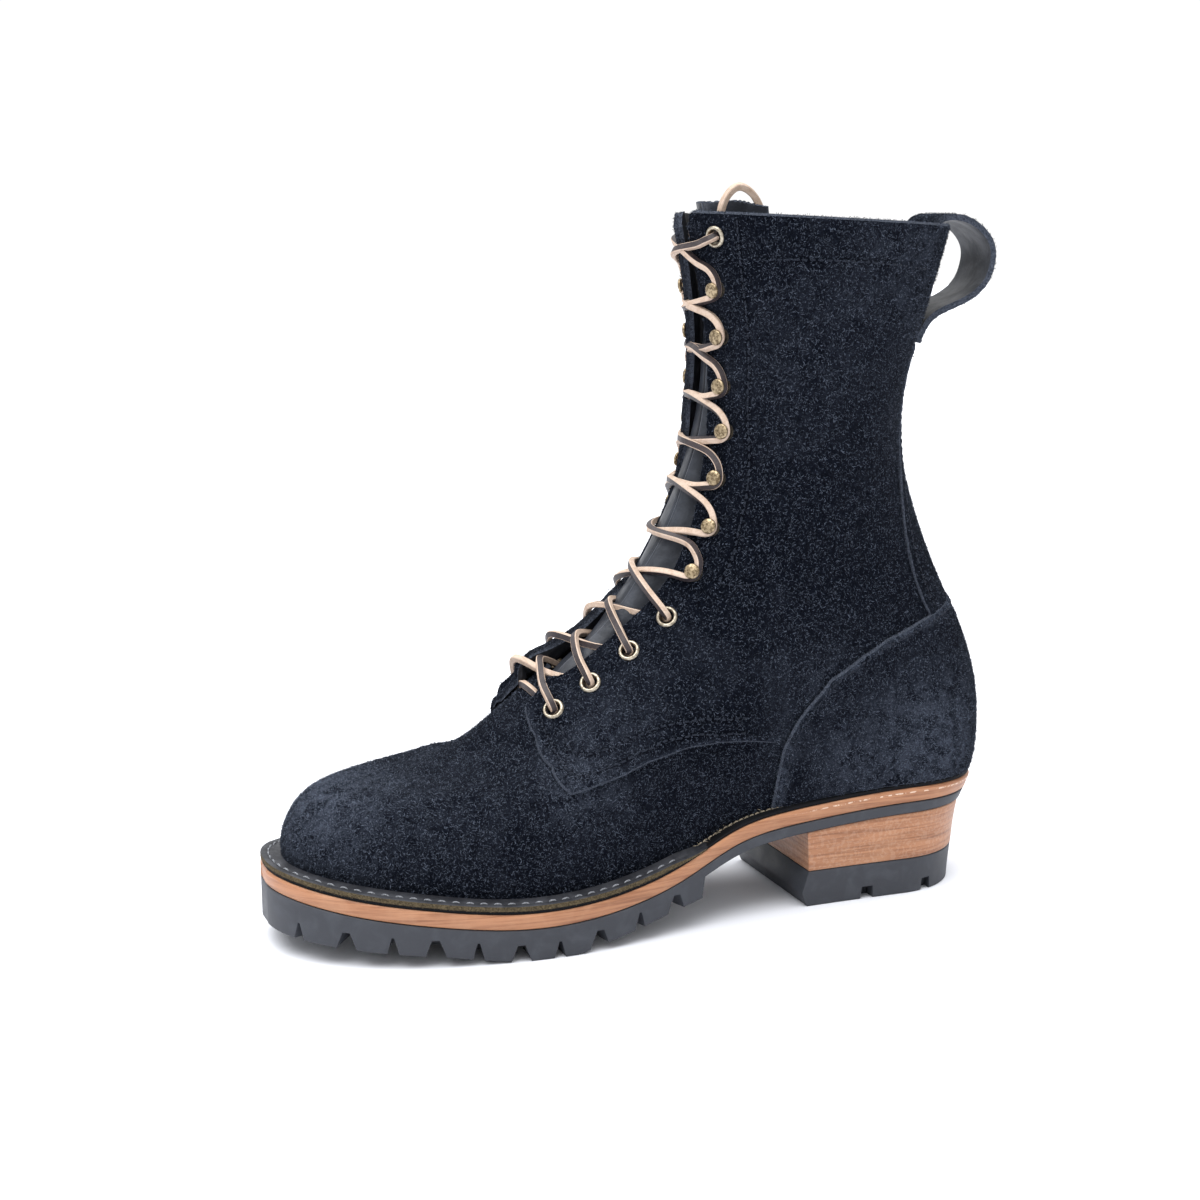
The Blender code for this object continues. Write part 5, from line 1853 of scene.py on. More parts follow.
@dataclass
class Sole:
    """The sole: welt, midsole, rubber outsole, heel and the stitches round it."""

    finishes: Finishes
    midsole: float = 6.0
    sheet: float = 4.6
    gap: float = 0.3
    welt: float = 3.4
    welt_end: float = 140.0
    welt_level: float = 0.42
    rand_level: float = 0.22
    groove: float = 0.36
    strip_margin: float = 0.25
    slip: float = 1.1
    tread_end: float = 142.0
    tread_back: float = 4.6
    lug_depth: float = 6.8
    channel_depth: float = 5.8
    channel_insets: tuple[float, float] = (17.0, 22.0)
    channel_ends: tuple[float, float] = (0.05, 0.56)
    cross_halves: tuple[float, float] = (3.4, 2.2)
    cross_reach: float = 33.0
    cut_below: float = 5.0
    cut_outside: float = 4.0
    soft_edge: float = 0.3
    breast: float = 90.5
    lift: float = 15.5

    def sheet_top(self, station: Array) -> Array:
        """The top of the rubber under the midsole."""
        return SOLE.bed(station) - self.midsole - self.gap

    def heel_seat(self, station: Array) -> Array:
        """The underside of the rubber sheet over the heel."""
        return self.sheet_top(station) - self.sheet - self.gap

    def foot(self, station: Array) -> Array:
        """The underside of the outsole: the lugs' feet in front, the sheet behind."""
        sheet = self.sheet_top(station) - self.sheet
        return np.where(station > self.tread_end, SOLE.tread(station), sheet)

    def stack_height(self, share: float) -> Curve:
        """The height at a share of the leather stack."""
        floor = self.lift + self.gap
        return lambda station: floor + (self.heel_seat(station) - floor) * share

    def plate(self, shares: Array, layers: Sequence[tuple[Curve, float, float]]) -> Array:
        """Cross sections of a plate that follows the sole's outline.

        Args:
            shares: Places from the back (0) to the toe (1).
            layers: From the top down: the height, how far the edge is drawn in, and the back's station.

        Returns:
            Loops down the outer side and up the inner side.
        """
        outer_side, inner_side = [], []
        for height, margin, heel in layers:
            toe = SOLE.length - margin
            station = heel + (toe - heel) * shares
            outer, inner = SOLE.half_widths(station, margin, heel, toe)
            level = height(station)
            outer_side.append(np.stack([station, outer, level], 1))
            inner_side.append(np.stack([station, -inner, level], 1))
        return np.stack(outer_side + inner_side[::-1], 1)

    def build_midsole(self) -> None:
        """Builds the tan leather midsole, with a line under it and a dotted scuff along it."""
        rows = (
            (0.0, 0.7, 0.7), (0.9, 0.0, 0.0), (1.3, 0.0, 0.1), (1.7, 0.0, 0.2), (2.1, 0.0, 0.4),
            (self.midsole - 0.5, 0.0, 1.9), (self.midsole, 0.5, 2.4),
        )
        layers = [(lowered(SOLE.bed, depth), margin, heel) for depth, margin, heel in rows]
        loops = self.plate(close_ends(170, 0.0006), layers)
        scuff, line = np.eye(len(rows))[[3, -1]]
        layer = np.broadcast_to(0.5 * np.concatenate([line, line[::-1]]), loops.shape[:2])
        wear = np.concatenate([scuff, scuff[::-1]]) * smooth_share((104 - loops[..., 0]) / 30)
        midsole = loft_piece("midsole_leather", loops, [self.finishes.tan], 50.0, layer=layer, wear=wear)
        place_piece(midsole, Slot.TAN, "midsole")

    def build_outsole(self) -> None:
        """Builds the rubber outsole: a thin sheet with a lugged forepart."""
        shares = close_ends(130, 0.0008)
        step = (self.tread_end - self.tread_back) / (SOLE.length - self.tread_back)
        beside = [step - 0.003, step + 0.001]
        shares = np.sort(np.concatenate([shares[np.abs(shares - step) > 0.004], beside]))
        layers = [
            (self.sheet_top, 0.5, 3.0),
            (lowered(self.sheet_top, 0.4), 0.1, 2.6),
            (lowered(self.foot, -0.5), 0.2, 4.4),
            (self.foot, 0.7, 5.0),
        ]
        outsole = loft_piece("outsole_rubber", self.plate(shares, layers), [self.finishes.rubber], 35.0)
        cutters = [self._notch(*row, side) for row in NOTCHES for side in Side]
        cutters += [self._channel(), *map(self._cross_channel, CROSS_CHANNELS)]
        carve(outsole, cutters, self.soft_edge)
        place_piece(outsole, Slot.RUBBER, "outsole")

    def _block(self, name: str, axes: Pairs, reach: tuple[float, float], rows: Pairs) -> Piece:
        """A tapered block to cut from the rubber.

        Args:
            name: Its name.
            axes: Seen from above, its centre and the directions of its width and its length.
            reach: Where it starts and ends along its length.
            rows: Height and half width of its foot and of its head.

        Returns:
            The block.
        """
        centre, along, inward = np.array(axes, float)
        near, far = reach
        corners = ((1, near), (-1, near), (-1, far), (1, far))
        loops = [
            [(*(centre + along * half * turn + inward * depth), height) for turn, depth in corners]
            for height, half in rows
        ]
        return loft_piece(name, loops, [self.finishes.rubber])

    def _notch(self, station: float, wide: bool, side: Side) -> Piece:
        """A tapered block across the edge of the tread.

        Args:
            station: Its place along the foot.
            wide: Whether it is one of the wider notches.
            side: The side of the foot.

        Returns:
            The block.
        """
        low, high, reach = WIDE_NOTCH if wide else NARROW_NOTCH
        flare = low + (low - high) * self.cut_below / self.lug_depth
        near = 0.5
        edge = SOLE.half_widths(np.array([station - near, station, station + near]))[side.column]
        along = unit(np.array([2 * near, side.value * (edge[2] - edge[0])]))
        inward = np.array([along[1], -along[0]]) * side.value
        centre = np.array([station, side.value * edge[1]])
        foot = float(SOLE.tread(station))
        rows = ((foot - self.cut_below, flare / 2), (foot + self.lug_depth, high / 2))
        return self._block("notch", (centre, along, inward), (-self.cut_outside, reach), rows)

    def _channel(self) -> Piece:
        """The groove between the edge lugs and the middle lugs.

        Returns:
            The body to cut away.
        """
        near, far = self.channel_ends
        loops = []
        for around in np.concatenate([np.linspace(-far, -near, 22), np.linspace(near, far, 22)]):
            along = (1 - math.cos(math.pi * abs(around))) / 2
            side = Side.OUTER if around > 0 else Side.INNER
            section = []
            for inset in self.channel_insets:
                station = (SOLE.length - inset) * (1 - along)
                out = SOLE.half_widths(station, inset, 0.0, SOLE.length - inset)[side.column] * side.value
                foot = float(SOLE.tread(station))
                section += [(station, out, foot - self.cut_below), (station, out, foot + self.channel_depth)]
            loops.append([section[0], section[1], section[3], section[2]])
        return loft_piece("channel", loops, [self.finishes.rubber])

    def _cross_channel(self, station: float) -> Piece:
        """A groove across the middle of the tread.

        Args:
            station: Its place along the foot.

        Returns:
            The body to cut away.
        """
        foot = float(SOLE.tread(station))
        low, high = self.cross_halves
        rows = ((foot - self.cut_below, low), (foot + self.channel_depth, high))
        axes = ((station, 0.0), (1.0, 0.0), (0.0, 1.0))
        return self._block("cross_channel", axes, (self.cross_reach, -self.cross_reach), rows)

    def heel_loop(self, row: HeelRow, height: Curve, inset: float = 0.0) -> Array:
        """The heel's outline at one height, round the back from breast to breast.

        Args:
            row: The outline's sizes.
            height: The height at each station.
            inset: How far the outline is drawn in.

        Returns:
            Points round the back.
        """
        along = (1 + np.cos(np.linspace(0, math.pi, 44)))[:-1] / 2
        back = row.back + inset
        station = back + (row.breast - inset - back) * along
        outer, inner = SOLE.half_widths(self.breast * along, row.side + inset)
        left = np.stack([station, outer, height(station)], 1)
        right = np.stack([station, -inner, height(station)], 1)
        tip = np.array([[back, 0.0, float(height(np.array(back)))]])
        return np.concatenate([left, tip, right[::-1]])

    def build_stack(self) -> None:
        """Builds the leather stack of the heel, with a line at each seam between its lifts."""
        curves = [table_curve(STACK, column) for column in (1, 2, 3)]
        beside = [[at - 0.025, at, at + 0.025] for at in STACK_SEAMS]
        loops, layers = [], []
        for share in np.sort(np.concatenate([[0.0, 0.03, 0.97, 1.0], *beside, [0.18, 0.53, 0.85]])):
            row = HeelRow(share, *(float(curve(share)) for curve in curves))
            at_seam = min(abs(share - at) for at in STACK_SEAMS) < 1e-6
            at_end = share in (0.0, 1.0)
            inset = 0.3 if at_end else 0.05 if at_seam else 0.0
            loops.append(self.heel_loop(row, self.stack_height(share), inset))
            layers.append(np.full(len(loops[-1]), 0.45 if at_seam else 0.7 if at_end else 0.0))
        layer = np.array(layers)
        wear = np.full(layer.shape, 0.08)
        stack = loft_piece("heel_stack_leather", loops, [self.finishes.tan], 50.0, layer=layer, wear=wear)
        place_piece(stack, Slot.TAN, "heel_stack")

    def build_lift(self) -> None:
        """Builds the notched rubber lift under the stack."""
        low, bulge, high = LIFT_ROWS
        rows = (
            (low, 0.0, 0.5), (low, 0.5, 0.0), (bulge, self.lift * bulge.share, 0.0),
            (high, self.lift - 0.4, 0.0), (high, self.lift, 0.4),
        )
        loops = [self.heel_loop(row, level_at(height), inset) for row, height, inset in rows]
        lift = loft_piece("heel_lift_rubber", loops, [self.finishes.rubber], 35.0)
        carve(lift, [self._lift_notch(*row, side) for row in LIFT_NOTCHES for side in Side], self.soft_edge)
        place_piece(lift, Slot.RUBBER, "heel_lift")

    def _lift_notch(self, station: float, width: float, side: Side) -> Piece:
        """A block across the edge of the lift, wider at its foot.

        Args:
            station: Its place along the foot.
            width: Its width.
            side: The side of the foot.

        Returns:
            The block.
        """
        edge = float(SOLE.half_widths(station)[side.column])
        rows = ((-1.0, width * 0.56), (5.4, width * 0.46))
        axes = ((station, 0.0), (1.0, 0.0), (0.0, side.value))
        return self._block("lift_notch", axes, (edge + 8.0, edge - 9.0), rows)

    def strip(self, around: Array, level: float, rows: Pairs, rise: Array = 1.0) -> Array:
        """Cross sections of a strip between the upper's foot and the sole's edge.

        Args:
            around: Places from the toe (0) to the heel (1), positive on the outer side.
            level: The upper's level that the strip meets.
            rows: Share from the edge (0) to the wall (1), and height over the bed.
            rise: What the heights are multiplied by at each place.

        Returns:
            Loops of the strip's section.
        """
        margin = self.strip_margin
        toe = SOLE.length - margin
        station = toe + (margin - toe) * (1 - np.cos(math.pi * np.abs(around))) / 2
        outer, inner = SOLE.half_widths(station, margin, margin, toe)
        side = np.where(around >= 0, outer, -inner)
        wall = LAST_FORM.point(level, around) + LAST_FORM.axes(level, around)[2] * [0.3, 0.3, 0.0]
        loops = []
        for share, height in rows:
            across = station + (wall[:, 0] - station) * share
            out = side + (wall[:, 1] - side) * share
            loops.append(np.stack([across, out, SOLE.bed(across) + height * rise], 1))
        return np.stack(loops, 1)

    def welt_rise(self, around: Array, end: float) -> Array:
        """How much of the welt's height is left near its ends at the waist."""
        return 0.25 + 0.75 * smooth_share((end - np.abs(around)) / 0.04)

    def build_welt(self, end: float) -> None:
        """Builds the welt round the forepart with its black slip layer, frayed edge and stitches.

        Args:
            end: Where it ends around the sole.
        """
        around = np.linspace(-end, end, 181)
        slip = self.gap + self.slip
        top = self.gap + self.welt
        rows = [
            (0.04, self.gap), (0.05, slip), (0.0, slip + 0.15), (0.0, top - 0.35), (0.07, top),
            (0.30, top + 0.02), (self.groove, top - 0.28), (0.42, top + 0.02), (0.80, top + 0.1),
            (1.0, top + 0.5), (1.0, self.gap),
        ]
        loops = self.strip(around, self.welt_level, rows, self.welt_rise(around, end))
        materials = [self.finishes.welt_top, self.finishes.welt_edge, self.finishes.slip]
        welt = loft_piece("welt_strip", loops, materials, slots=np.array([2, 1, 1, 0, 0, 0, 0, 0, 0, 0, 2]))
        place_piece(welt, Slot.WELT, "welt")
        Nap((0.5, 1.1), 0.10, (0.3, 0.9)).grow(welt, "welt_fuzz", self.finishes.welt_fibre, 1, Slot.WELT)
        seam = np.linspace(-end + 0.03, end - 0.03, 400)
        line = self.strip(seam, self.welt_level, [(self.groove, top + 0.05)], self.welt_rise(seam, end))[:, 0]
        table = smooth_path(line, 5.4)
        step = np.diff(table, axis=0)
        draft = MeshDraft()
        up = np.broadcast_to([0.0, 0.0, 1.0], step.shape)
        add_capsules(draft, table[:-1] + step * 0.2, table[:-1] + step * 0.8, up, 0.38)
        place_piece(draft.build("welt_stitches", [self.finishes.welt_thread]), Slot.WELT)

    def build_rand(self, start: float) -> None:
        """Builds the black rand round the heel, from the welt's end on one side to the other.

        Args:
            start: Where it starts around the sole.
        """
        around = np.concatenate([np.linspace(start, 1.0, 90), np.linspace(-1.0, -start, 90)[1:]])
        rows = [(share, self.gap + height) for share, height in RAND_SECTION]
        rise = 0.3 + 0.7 * smooth_share((np.abs(around) - start) / 0.03)
        rise = rise + 1.2 * smooth_share((np.abs(around) - 0.84) / 0.14)
        rand = loft_piece("rand_strip", self.strip(around, self.rand_level, rows, rise), [self.finishes.slip])
        place_piece(rand, Slot.RUBBER, "heel_rand")

    def build_loose_thread(self, end: float) -> None:
        """Builds the thread lying along the waist behind the welt.

        Args:
            end: Where the welt ends around the sole.
        """
        around = np.linspace(end - 0.01, end + 0.105, 40)
        wave = 0.5 * np.sin(np.linspace(0, 9.0, 40)) + 0.25 * np.sin(np.linspace(0, 23.0, 40))
        path = self.strip(around, self.rand_level, [(0.72, self.gap + 1.95)])[:, 0]
        path[:, 2] += 0.25 * wave
        path[:, 1] += 0.35 * wave
        path = smooth_path(path, 2.6)
        step = np.diff(path, axis=0)
        up = np.broadcast_to([0.0, 0.0, 1.0], step.shape)
        draft = MeshDraft()
        add_capsules(draft, path[:-1], path[:-1] + step * 0.86, up, 0.3)
        rng = np.random.default_rng(23)
        roots = path[rng.integers(0, len(path), 60)] + rng.normal(0, 0.5, (60, 3)) * [2.0, 0.4, 0.2]
        tips = roots + rng.normal(0, 1.0, (60, 3)) * [1.0, 0.6, 0.5]
        add_capsules(draft, roots, tips, np.broadcast_to([0.0, 0.0, 1.0], roots.shape), 0.1)
        place_piece(draft.build("waist_thread", [self.finishes.loose_thread]), Slot.WELT)

    def build(self) -> None:
        """Builds the sole from the welt down."""
        end = math.acos(1 - 2 * (1 - self.welt_end / SOLE.length)) / math.pi
        self.build_welt(end)
        self.build_rand(end - 0.012)
        self.build_loose_thread(end)
        self.build_midsole()
        self.build_outsole()
        self.build_stack()
        self.build_lift()
        insole = frame["nodes"]["insole"]
        insole.data.materials.clear()
        insole.data.materials.append(self.finishes.insole)


@dataclass
class Tongue:
    """The smooth leather tongue behind the throat."""

    finishes: Finishes
    inside: float = 3.9
    thickness: float = 2.0
    above_collar: float = 0.05
    girth: float = 160.0
    fold: float = 1.3
    edge_dip: float = 2.2
    sunk_at_collar: float = 5.0
    sunk_outside: float = 9.0
    low_reach: float = 0.5
    side_reach: float = 0.085
    least_reach: float = 0.17
    top_spread: float = 0.08
    bend_level: float = 12.6
    fold_place: float = 0.20
    bead: float = 0.25
    valley: float = 2.0
    wave: float = 0.35

    def build(self) -> None:
        """Builds the tongue with its fold down the front."""
        form = LAST_FORM
        levels = np.linspace(form.throat_level - self.low_reach, form.collar, 90)
        edge = form.throat_edge(levels)
        wide = np.maximum(edge + self.side_reach, self.least_reach)
        wide = wide + self.top_spread * smooth_share((levels - 12.5) / 1.5)
        even = np.linspace(-1, 1, 141)
        share = even * (0.35 + 0.65 * even**2)
        around = wide[:, None] * share[None]
        risen = smooth_share((levels - self.bend_level) / (form.collar - self.bend_level))[:, None]
        slope = 1 - 0.75 * smooth_share((share - 0.1) / 0.9)[None]
        rng = np.random.default_rng(41)
        ragged = rng.normal(0, 0.005, share.shape)[None] * risen**8
        level = levels[:, None] + risen * self.above_collar * slope + ragged
        low = smooth_share((levels - form.throat_level - 0.1) / 0.6)[:, None]
        opened = np.minimum(1.0, edge / 0.12)[:, None] * low
        inner_share = np.abs(around) / edge[:, None]
        raised = smooth_share((levels - 8.4) / 1.0)[:, None]
        inner_bulge = (1.2 + 1.6 * raised) * (1 - smooth_share((inner_share - 0.8) / 0.3))
        outer_bulge = (1.2 + 0.8 * raised) * (1 - smooth_share((inner_share - 0.3) / 0.5))
        dip = -self.edge_dip * smooth_share((inner_share - 0.55) / 0.4)
        across = (around - self.fold_place * edge[:, None]) * self.girth
        turned = smooth_share((around / edge[:, None] + 0.1) / 0.3)
        bulge = inner_bulge + (outer_bulge + dip - inner_bulge) * turned
        step = self.fold * smooth_share((across + 0.2) / 0.8) * (1 - smooth_share((across - 4.0) / 14.0))
        bead = self.bead * np.exp(-(((across - 1.0) / 0.8) ** 2))
        valley = -self.valley * np.exp(-(((across + 1.8) / 0.9) ** 2))
        wave = self.wave * np.sin(levels * 4.6)[:, None] * np.cos(around * 18)
        sunk = self.sunk_at_collar * risen + self.sunk_outside * risen * smooth_share((around - 0.02) / 0.13)
        depth = self.inside + sunk - (bulge + step + bead + valley + wave) * opened
        normals = form.axes(np.minimum(level, form.collar), around)[2]
        outside = form.point(level, around) - normals * depth[..., None]
        # Painted shade in the hollow beside the fold, passed on as the seam value, and a painted highlight
        # along the fold's ridge.
        seam = np.exp(-(((across + 2.0) / 1.0) ** 2)) * low
        wear = 1.7 * np.exp(-(((across - 0.6) / 0.6) ** 2)) * low
        tongue = shell_piece(
            "tongue_sheet", outside, outside - normals * self.thickness,
            [self.finishes.tongue, self.finishes.cut], (0, 0, 1), 0.2, seam=seam, wear=wear,
        )
        place_piece(tongue, Slot.TONGUE, "tongue")


@dataclass
class PullLoop:
    """The strap over the collar's back."""

    finishes: Finishes
    width: float = 25.0
    thickness: float = 2.6

    def build(self) -> None:
        """Builds the strap, suede outside and smooth inside."""
        table = np.array([(station, 0.0, height, bow) for station, height, bow in STRAP_PATH])
        path = smooth_path(table, 1.0)
        across = np.linspace(1, -1, 25)
        along = unit(np.gradient(path[:, [0, 2]], axis=0))
        outward = np.stack([along[:, 1], np.zeros(len(path)), -along[:, 0]], 1)
        rng = np.random.default_rng(31)
        ragged = 1 + rng.normal(0, 0.006, (len(path), 1))
        side = across[None] * ragged * self.width / 2
        ahead = path[:, 3:4] * across[None] ** 2
        middle = np.stack([path[:, :1] + ahead, side, np.broadcast_to(path[:, 2:3], side.shape)], -1)
        half = outward[:, None] * self.thickness / 2
        rough = rng.normal(0, 0.08, side.shape)[..., None] * outward[:, None]
        materials = [self.finishes.suede, self.finishes.strap, self.finishes.cut]
        strap = shell_piece(
            "pull_strap", middle + half + rough, middle - half, materials, bulge=0.25,
            wear=np.full(side.shape, 0.25),
        )
        place_piece(strap, Slot.TONGUE, "pull_loop")
        Nap().grow(strap, "pull_strap_nap", self.finishes.fibre)
        draft = MeshDraft()
        low_end = np.arange(len(path)) > len(path) // 2
        rows = (path[:, 2] < 249.0) & (path[:, 0] > 13.0) & low_end
        for turn in (-1, 1):
            rim = middle[rows, 0 if turn > 0 else -1] - [0.0, turn * 2.4, 0.0]
            rim = rim + outward[rows] * (self.thickness / 2 + 0.1)
            StitchRow(rim, outward[rows]).add_to(draft)
        place_piece(draft.build("strap_stitches", [self.finishes.thread]), Slot.TONGUE)


@dataclass
class Lacing:
    """Eyelets, hooks and the lace run through them."""

    finishes: Finishes
    width: float = 2.9
    thickness: float = 2.5
    wall: float = 3.4
    over: float = 1.9
    under_wall: float = 1.3
    cross_clear: float = 1.2
    cross_rise: float = 0.9
    hook_cross: float = 0.12
    hook_over: float = 3.5
    hook_under: float = 1.2
    inner_hook_back: float = 0.05
    spacing: float = 0.8

    def __post_init__(self) -> None:
        """Finds every eyelet's and hook's place."""
        self.places = np.array([LAST_FORM.locate(row.station, row.height) for row in LACING])
        numbers = range(len(LACING))
        self.line_station = spline(numbers, [row.station for row in LACING])
        self.line_height = spline(numbers, [row.height for row in LACING])
        self.line_around = spline(numbers, self.places[:, 1])

    def _base(self, number: int, side: Side) -> tuple[Array, Array]:
        """Where an eyelet or a hook stands on the skin, and the outward direction there."""
        level, around = self.places[number] * [1.0, self._own_share(number, side)]
        return LAST_FORM.skin(np.array(level), np.array(around)), LAST_FORM.axes(level, around)[2]

    def _own_share(self, number: int, side: Side) -> float:
        """How far across from the throat's middle a station lies, the inner hooks a little further back."""
        back = self.inner_hook_back / float(self.line_around(number))
        return -1 - back if side is Side.INNER and LACING[number].hook else float(side.value)

    def build_hardware(self) -> None:
        """Builds the eyelets and hooks of both sides, one mesh of each kind."""
        for side in Side:
            eyelets, hooks = MeshDraft(), MeshDraft()
            eyelet_names, hook_names = [], []
            for number, row in enumerate(LACING):
                centre, axis = self._base(number, side)
                if row.hook:
                    add_turned(hooks, WASHER_PROFILE, centre, axis, 28, 1)
                    add_turned(hooks, HOOK_PROFILE, centre, axis, 28)
                    hook_names.append(f"hook_{side.label}_{number + 1:02d}")
                else:
                    add_turned(eyelets, EYELET_PROFILE, centre, axis, 32)
                    eyelet_names.append(f"eyelet_{side.label}_{number + 1:02d}")
            rings = eyelets.build(f"eyelets_{side.label}", [self.finishes.eyelet])
            place_piece(rings, Slot.EYELET, *eyelet_names)
            studs = hooks.build(f"hooks_{side.label}", [self.finishes.hook, self.finishes.washer])
            place_piece(studs, Slot.HOOK, *hook_names)

    def _chart(self, number: float, share: float) -> tuple[float, float]:
        """A place over the throat.

        Args:
            number: How far up the lacing, counted in stations.
            share: How far across, from the throat's middle (0) to the stations of a side (1 or -1).

        Returns:
            Level and place around.
        """
        around = share * float(self.line_around(number))
        middle = float(np.interp(number, np.arange(len(LACING)), self.places[:, 0]))
        levels = np.linspace(middle - 2.6, middle + 2.6, 261)
        away = LAST_FORM.point(levels, around)[:, [0, 2]] - self._line(number)
        along = away @ self._tangent(number)
        return float(np.interp(0.0, along, levels)), around

    def _tangent(self, number: float) -> Array:
        """Millimetres along and up the lacing line for one station, seen from the side."""
        behind, ahead = (self._line(number + near) for near in (-0.05, 0.05))
        return (ahead - behind) / 0.1

    def _line(self, number: float) -> Array:
        """Station and height of the lacing line."""
        return np.array([self.line_station(number), self.line_height(number)])

    def _at(self, number: float, share: float, clear: float) -> Array:
        """A charted place at a clearance from the skin and the outward direction there, in six columns."""
        place = np.array(self._chart(number, share))
        return np.concatenate([LAST_FORM.skin(*place, clear), LAST_FORM.axes(*place)[2]])

    def _near(self, number: int, side: Side, out: float, up: float, clear: float) -> Array:
        """A place by millimetres away from a station.

        Args:
            number: The station's number.
            side: The side of the foot.
            out: Millimetres away from the throat.
            up: Millimetres up the lacing line.
            clear: Millimetres above the skin.

        Returns:
            The place and the outward direction there, in six columns.
        """
        here = LAST_FORM.point(*self._chart(number, 1.0))
        inward = LAST_FORM.point(*self._chart(number, 0.8))
        across = np.linalg.norm(here - inward) / 0.2
        rise = np.linalg.norm(self._tangent(number))
        return self._at(number + up / rise, self._own_share(number, side) + side.value * out / across, clear)

    def _edge_share(self, number: float, side: Side) -> float:
        """Where a facing's edge lies between the throat's middle and its stations."""
        level, around = self._chart(number, 0.7)
        return float(LAST_FORM.throat_edge(level, side)) / around * 0.7

    def strand(self, first: Side, over_first: bool) -> Array:
        """The path of one half of the lace.

        Args:
            first: The side of its lowest eyelet.
            over_first: Whether it lies over the other half at the first crossing.

        Returns:
            Control points with outward directions.
        """
        under = -self.wall - self.under_wall
        last = len(LACING) - 1
        rows = [self._at(up, first.value * across, clear) for up, across, clear in LACE_START]
        for number, row in enumerate(LACING):
            side = first if number % 2 == 0 else Side(-first.value)
            steps = ((-4.5, -0.6, under), *UP_THROUGH_EYELET)
            if row.hook:
                steps = ROUND_HOOK
            elif number == last:
                steps = INTO_TOP_EYELET
            rows += [self._near(number, side, *step) for step in steps]
            if number == last:
                break
            middle = number + CROSSINGS.get(number, 0.5)
            is_over = (number % 2 == 0) == over_first
            if row.hook:
                clear = self.hook_over if is_over else self.hook_under
                rows.append(self._at(middle, side.value * self.hook_cross, clear))
                continue
            share = self._edge_share(number + 0.2, side)
            rows.append(self._at(number + (1 - share) / 2, side.value * share, self.over))
            rise = self.cross_rise * number / 4
            rows.append(self._at(middle, 0.0, (self.cross_clear if is_over else -self.cross_clear) + rise))
            if not LACING[number + 1].hook:
                share = self._edge_share(number + 0.8, Side(-side.value))
                rows.append(self._at(number + (1 + share) / 2, -side.value * share, under - 0.2))
        return np.array(rows)

    def build_lace(self) -> None:
        """Builds both halves of the lace and the free loop above the collar."""
        half = (self.width / 2, self.thickness / 2)
        ends = [self.strand(side, side is Side.OUTER) for side in Side]
        rows = smooth_path(np.concatenate([ends[0][::-1], ends[1]]), self.spacing)
        length = np.arange(len(rows)) * self.spacing
        roll = 0.75 + 0.55 * np.sin(length / 23.0) + 0.35 * np.sin(length / 51.0)
        loops = ribbon_loops(rows[:, :3], unit(rows[:, 3:]), half, roll)
        lace = loft_piece("lace", loops, self.finishes.lace, slots=LACE_FACES)
        nodes = [name for name in frame["nodes"] if name.startswith("lace_crossing")]
        place_piece(lace, Slot.LACE, "lace_bar", *nodes)
        path = smooth_path(np.array(LACE_LOOP), self.spacing)
        facing = np.broadcast_to([0.0, 1.0, 0.0], path.shape)
        loops = ribbon_loops(path, facing, half, 2.5 + 0.5 * np.linspace(0, 1, len(path)))
        loop = loft_piece("lace_bow", loops, self.finishes.lace, slots=LACE_FACES)
        place_piece(loop, Slot.LACE, "lace_loop")
        places = SOLE.to_frame(path)
        length = float(np.linalg.norm(np.diff(places, axis=0), axis=1).sum())

    def build(self) -> None:
        """Builds the metal, then the lace."""
        self.build_hardware()
        self.build_lace()


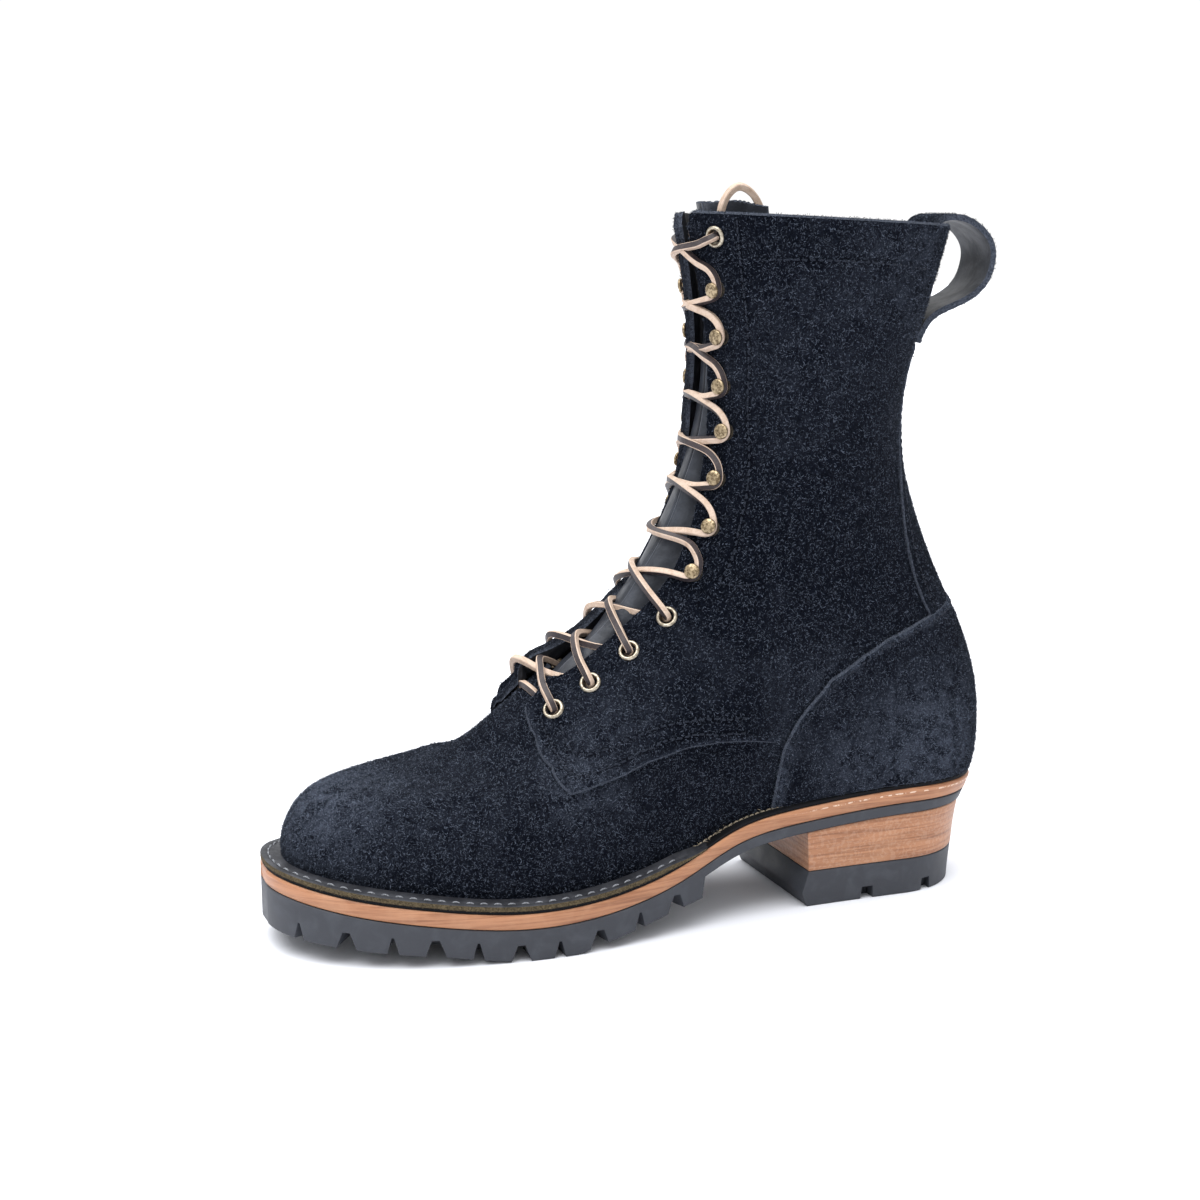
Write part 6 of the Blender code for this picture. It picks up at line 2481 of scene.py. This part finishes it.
@dataclass
class Studio:
    """The floor, light and camera of the photograph."""

    camera_place: Triple = (0.30395, 0.77404, 0.289)
    turn: float = 20.4
    pitch: float = 10.9
    lens: float = 61.5
    sensor: float = 36.0
    floor_size: float = 12.0
    sky: float = 1.04

    def build(self) -> None:
        """Sets up the floor, the world, the lamps and the camera."""
        scene = bpy.context.scene
        scene.view_settings.view_transform = "Standard"
        bpy.ops.mesh.primitive_plane_add(size=self.floor_size)
        floor = bpy.context.object
        floor.name = "studio_floor"
        paper = NodeBench("white_floor")
        paper.finish(Base_Color=(0.74, 0.755, 0.80), Roughness=0.9, Specular_IOR_Level=0.1)
        floor.data.materials.append(paper.material)
        world = bpy.data.worlds.new("white_room")
        world.use_nodes = True
        back = world.node_tree.nodes["Background"]
        back.inputs["Color"].default_value = (1.0, 1.0, 1.0, 1.0)
        back.inputs["Strength"].default_value = self.sky
        scene.world = world
        key = self._light("key_light", "AREA", (0.75, 0.55, 1.2), (0.0, 0.0, 0.12), size=0.9, energy=5.0)
        wide = math.radians(80.0)
        top = self._light("top_light", "SUN", (0.12, -0.10, 1.0), (0.0, 0.0, 0.0), angle=wide, energy=4.4)
        data = bpy.data.cameras.new("photo_camera")
        data.lens = self.lens
        data.sensor_width = self.sensor
        data.clip_start = 0.01
        camera = bpy.data.objects.new("photo_camera", data)
        scene.collection.objects.link(camera)
        camera.location = self.camera_place
        turn, pitch = math.radians(self.turn), math.radians(self.pitch)
        level = math.cos(pitch)
        look = Vector((-math.sin(turn) * level, -math.cos(turn) * level, -math.sin(pitch)))
        camera.rotation_euler = look.to_track_quat("-Z", "Y").to_euler()
        scene.camera = camera

    def _light(self, name: str, kind: str, place: Triple, target: Triple, **settings: float) -> Piece:
        """A light aimed at a place.

        Args:
            name: Its name.
            kind: Its type.
            place: Where it stands, in metres.
            target: Where it points.
            settings: Its size or angle and its energy.

        Returns:
            The light.
        """
        data = bpy.data.lights.new(name, kind)
        for setting, value in settings.items():
            setattr(data, setting, value)
        light = bpy.data.objects.new(name, data)
        bpy.context.scene.collection.objects.link(light)
        light.location = place
        light.rotation_euler = (Vector(target) - Vector(place)).to_track_quat("-Z", "Y").to_euler()
        return light


def main() -> None:
    """Builds the boot piece by piece, then the studio."""
    logging.basicConfig(level=logging.INFO, format="%(name)s %(message)s")
    finishes = Finishes()
    pieces = (Sole(finishes), Upper(finishes), Tongue(finishes), PullLoop(finishes), Lacing(finishes))
    for piece in pieces:
        piece.build()
        log.info("%s done", type(piece).__name__)
    Studio().build()


if __name__ == "__main__":
    main()
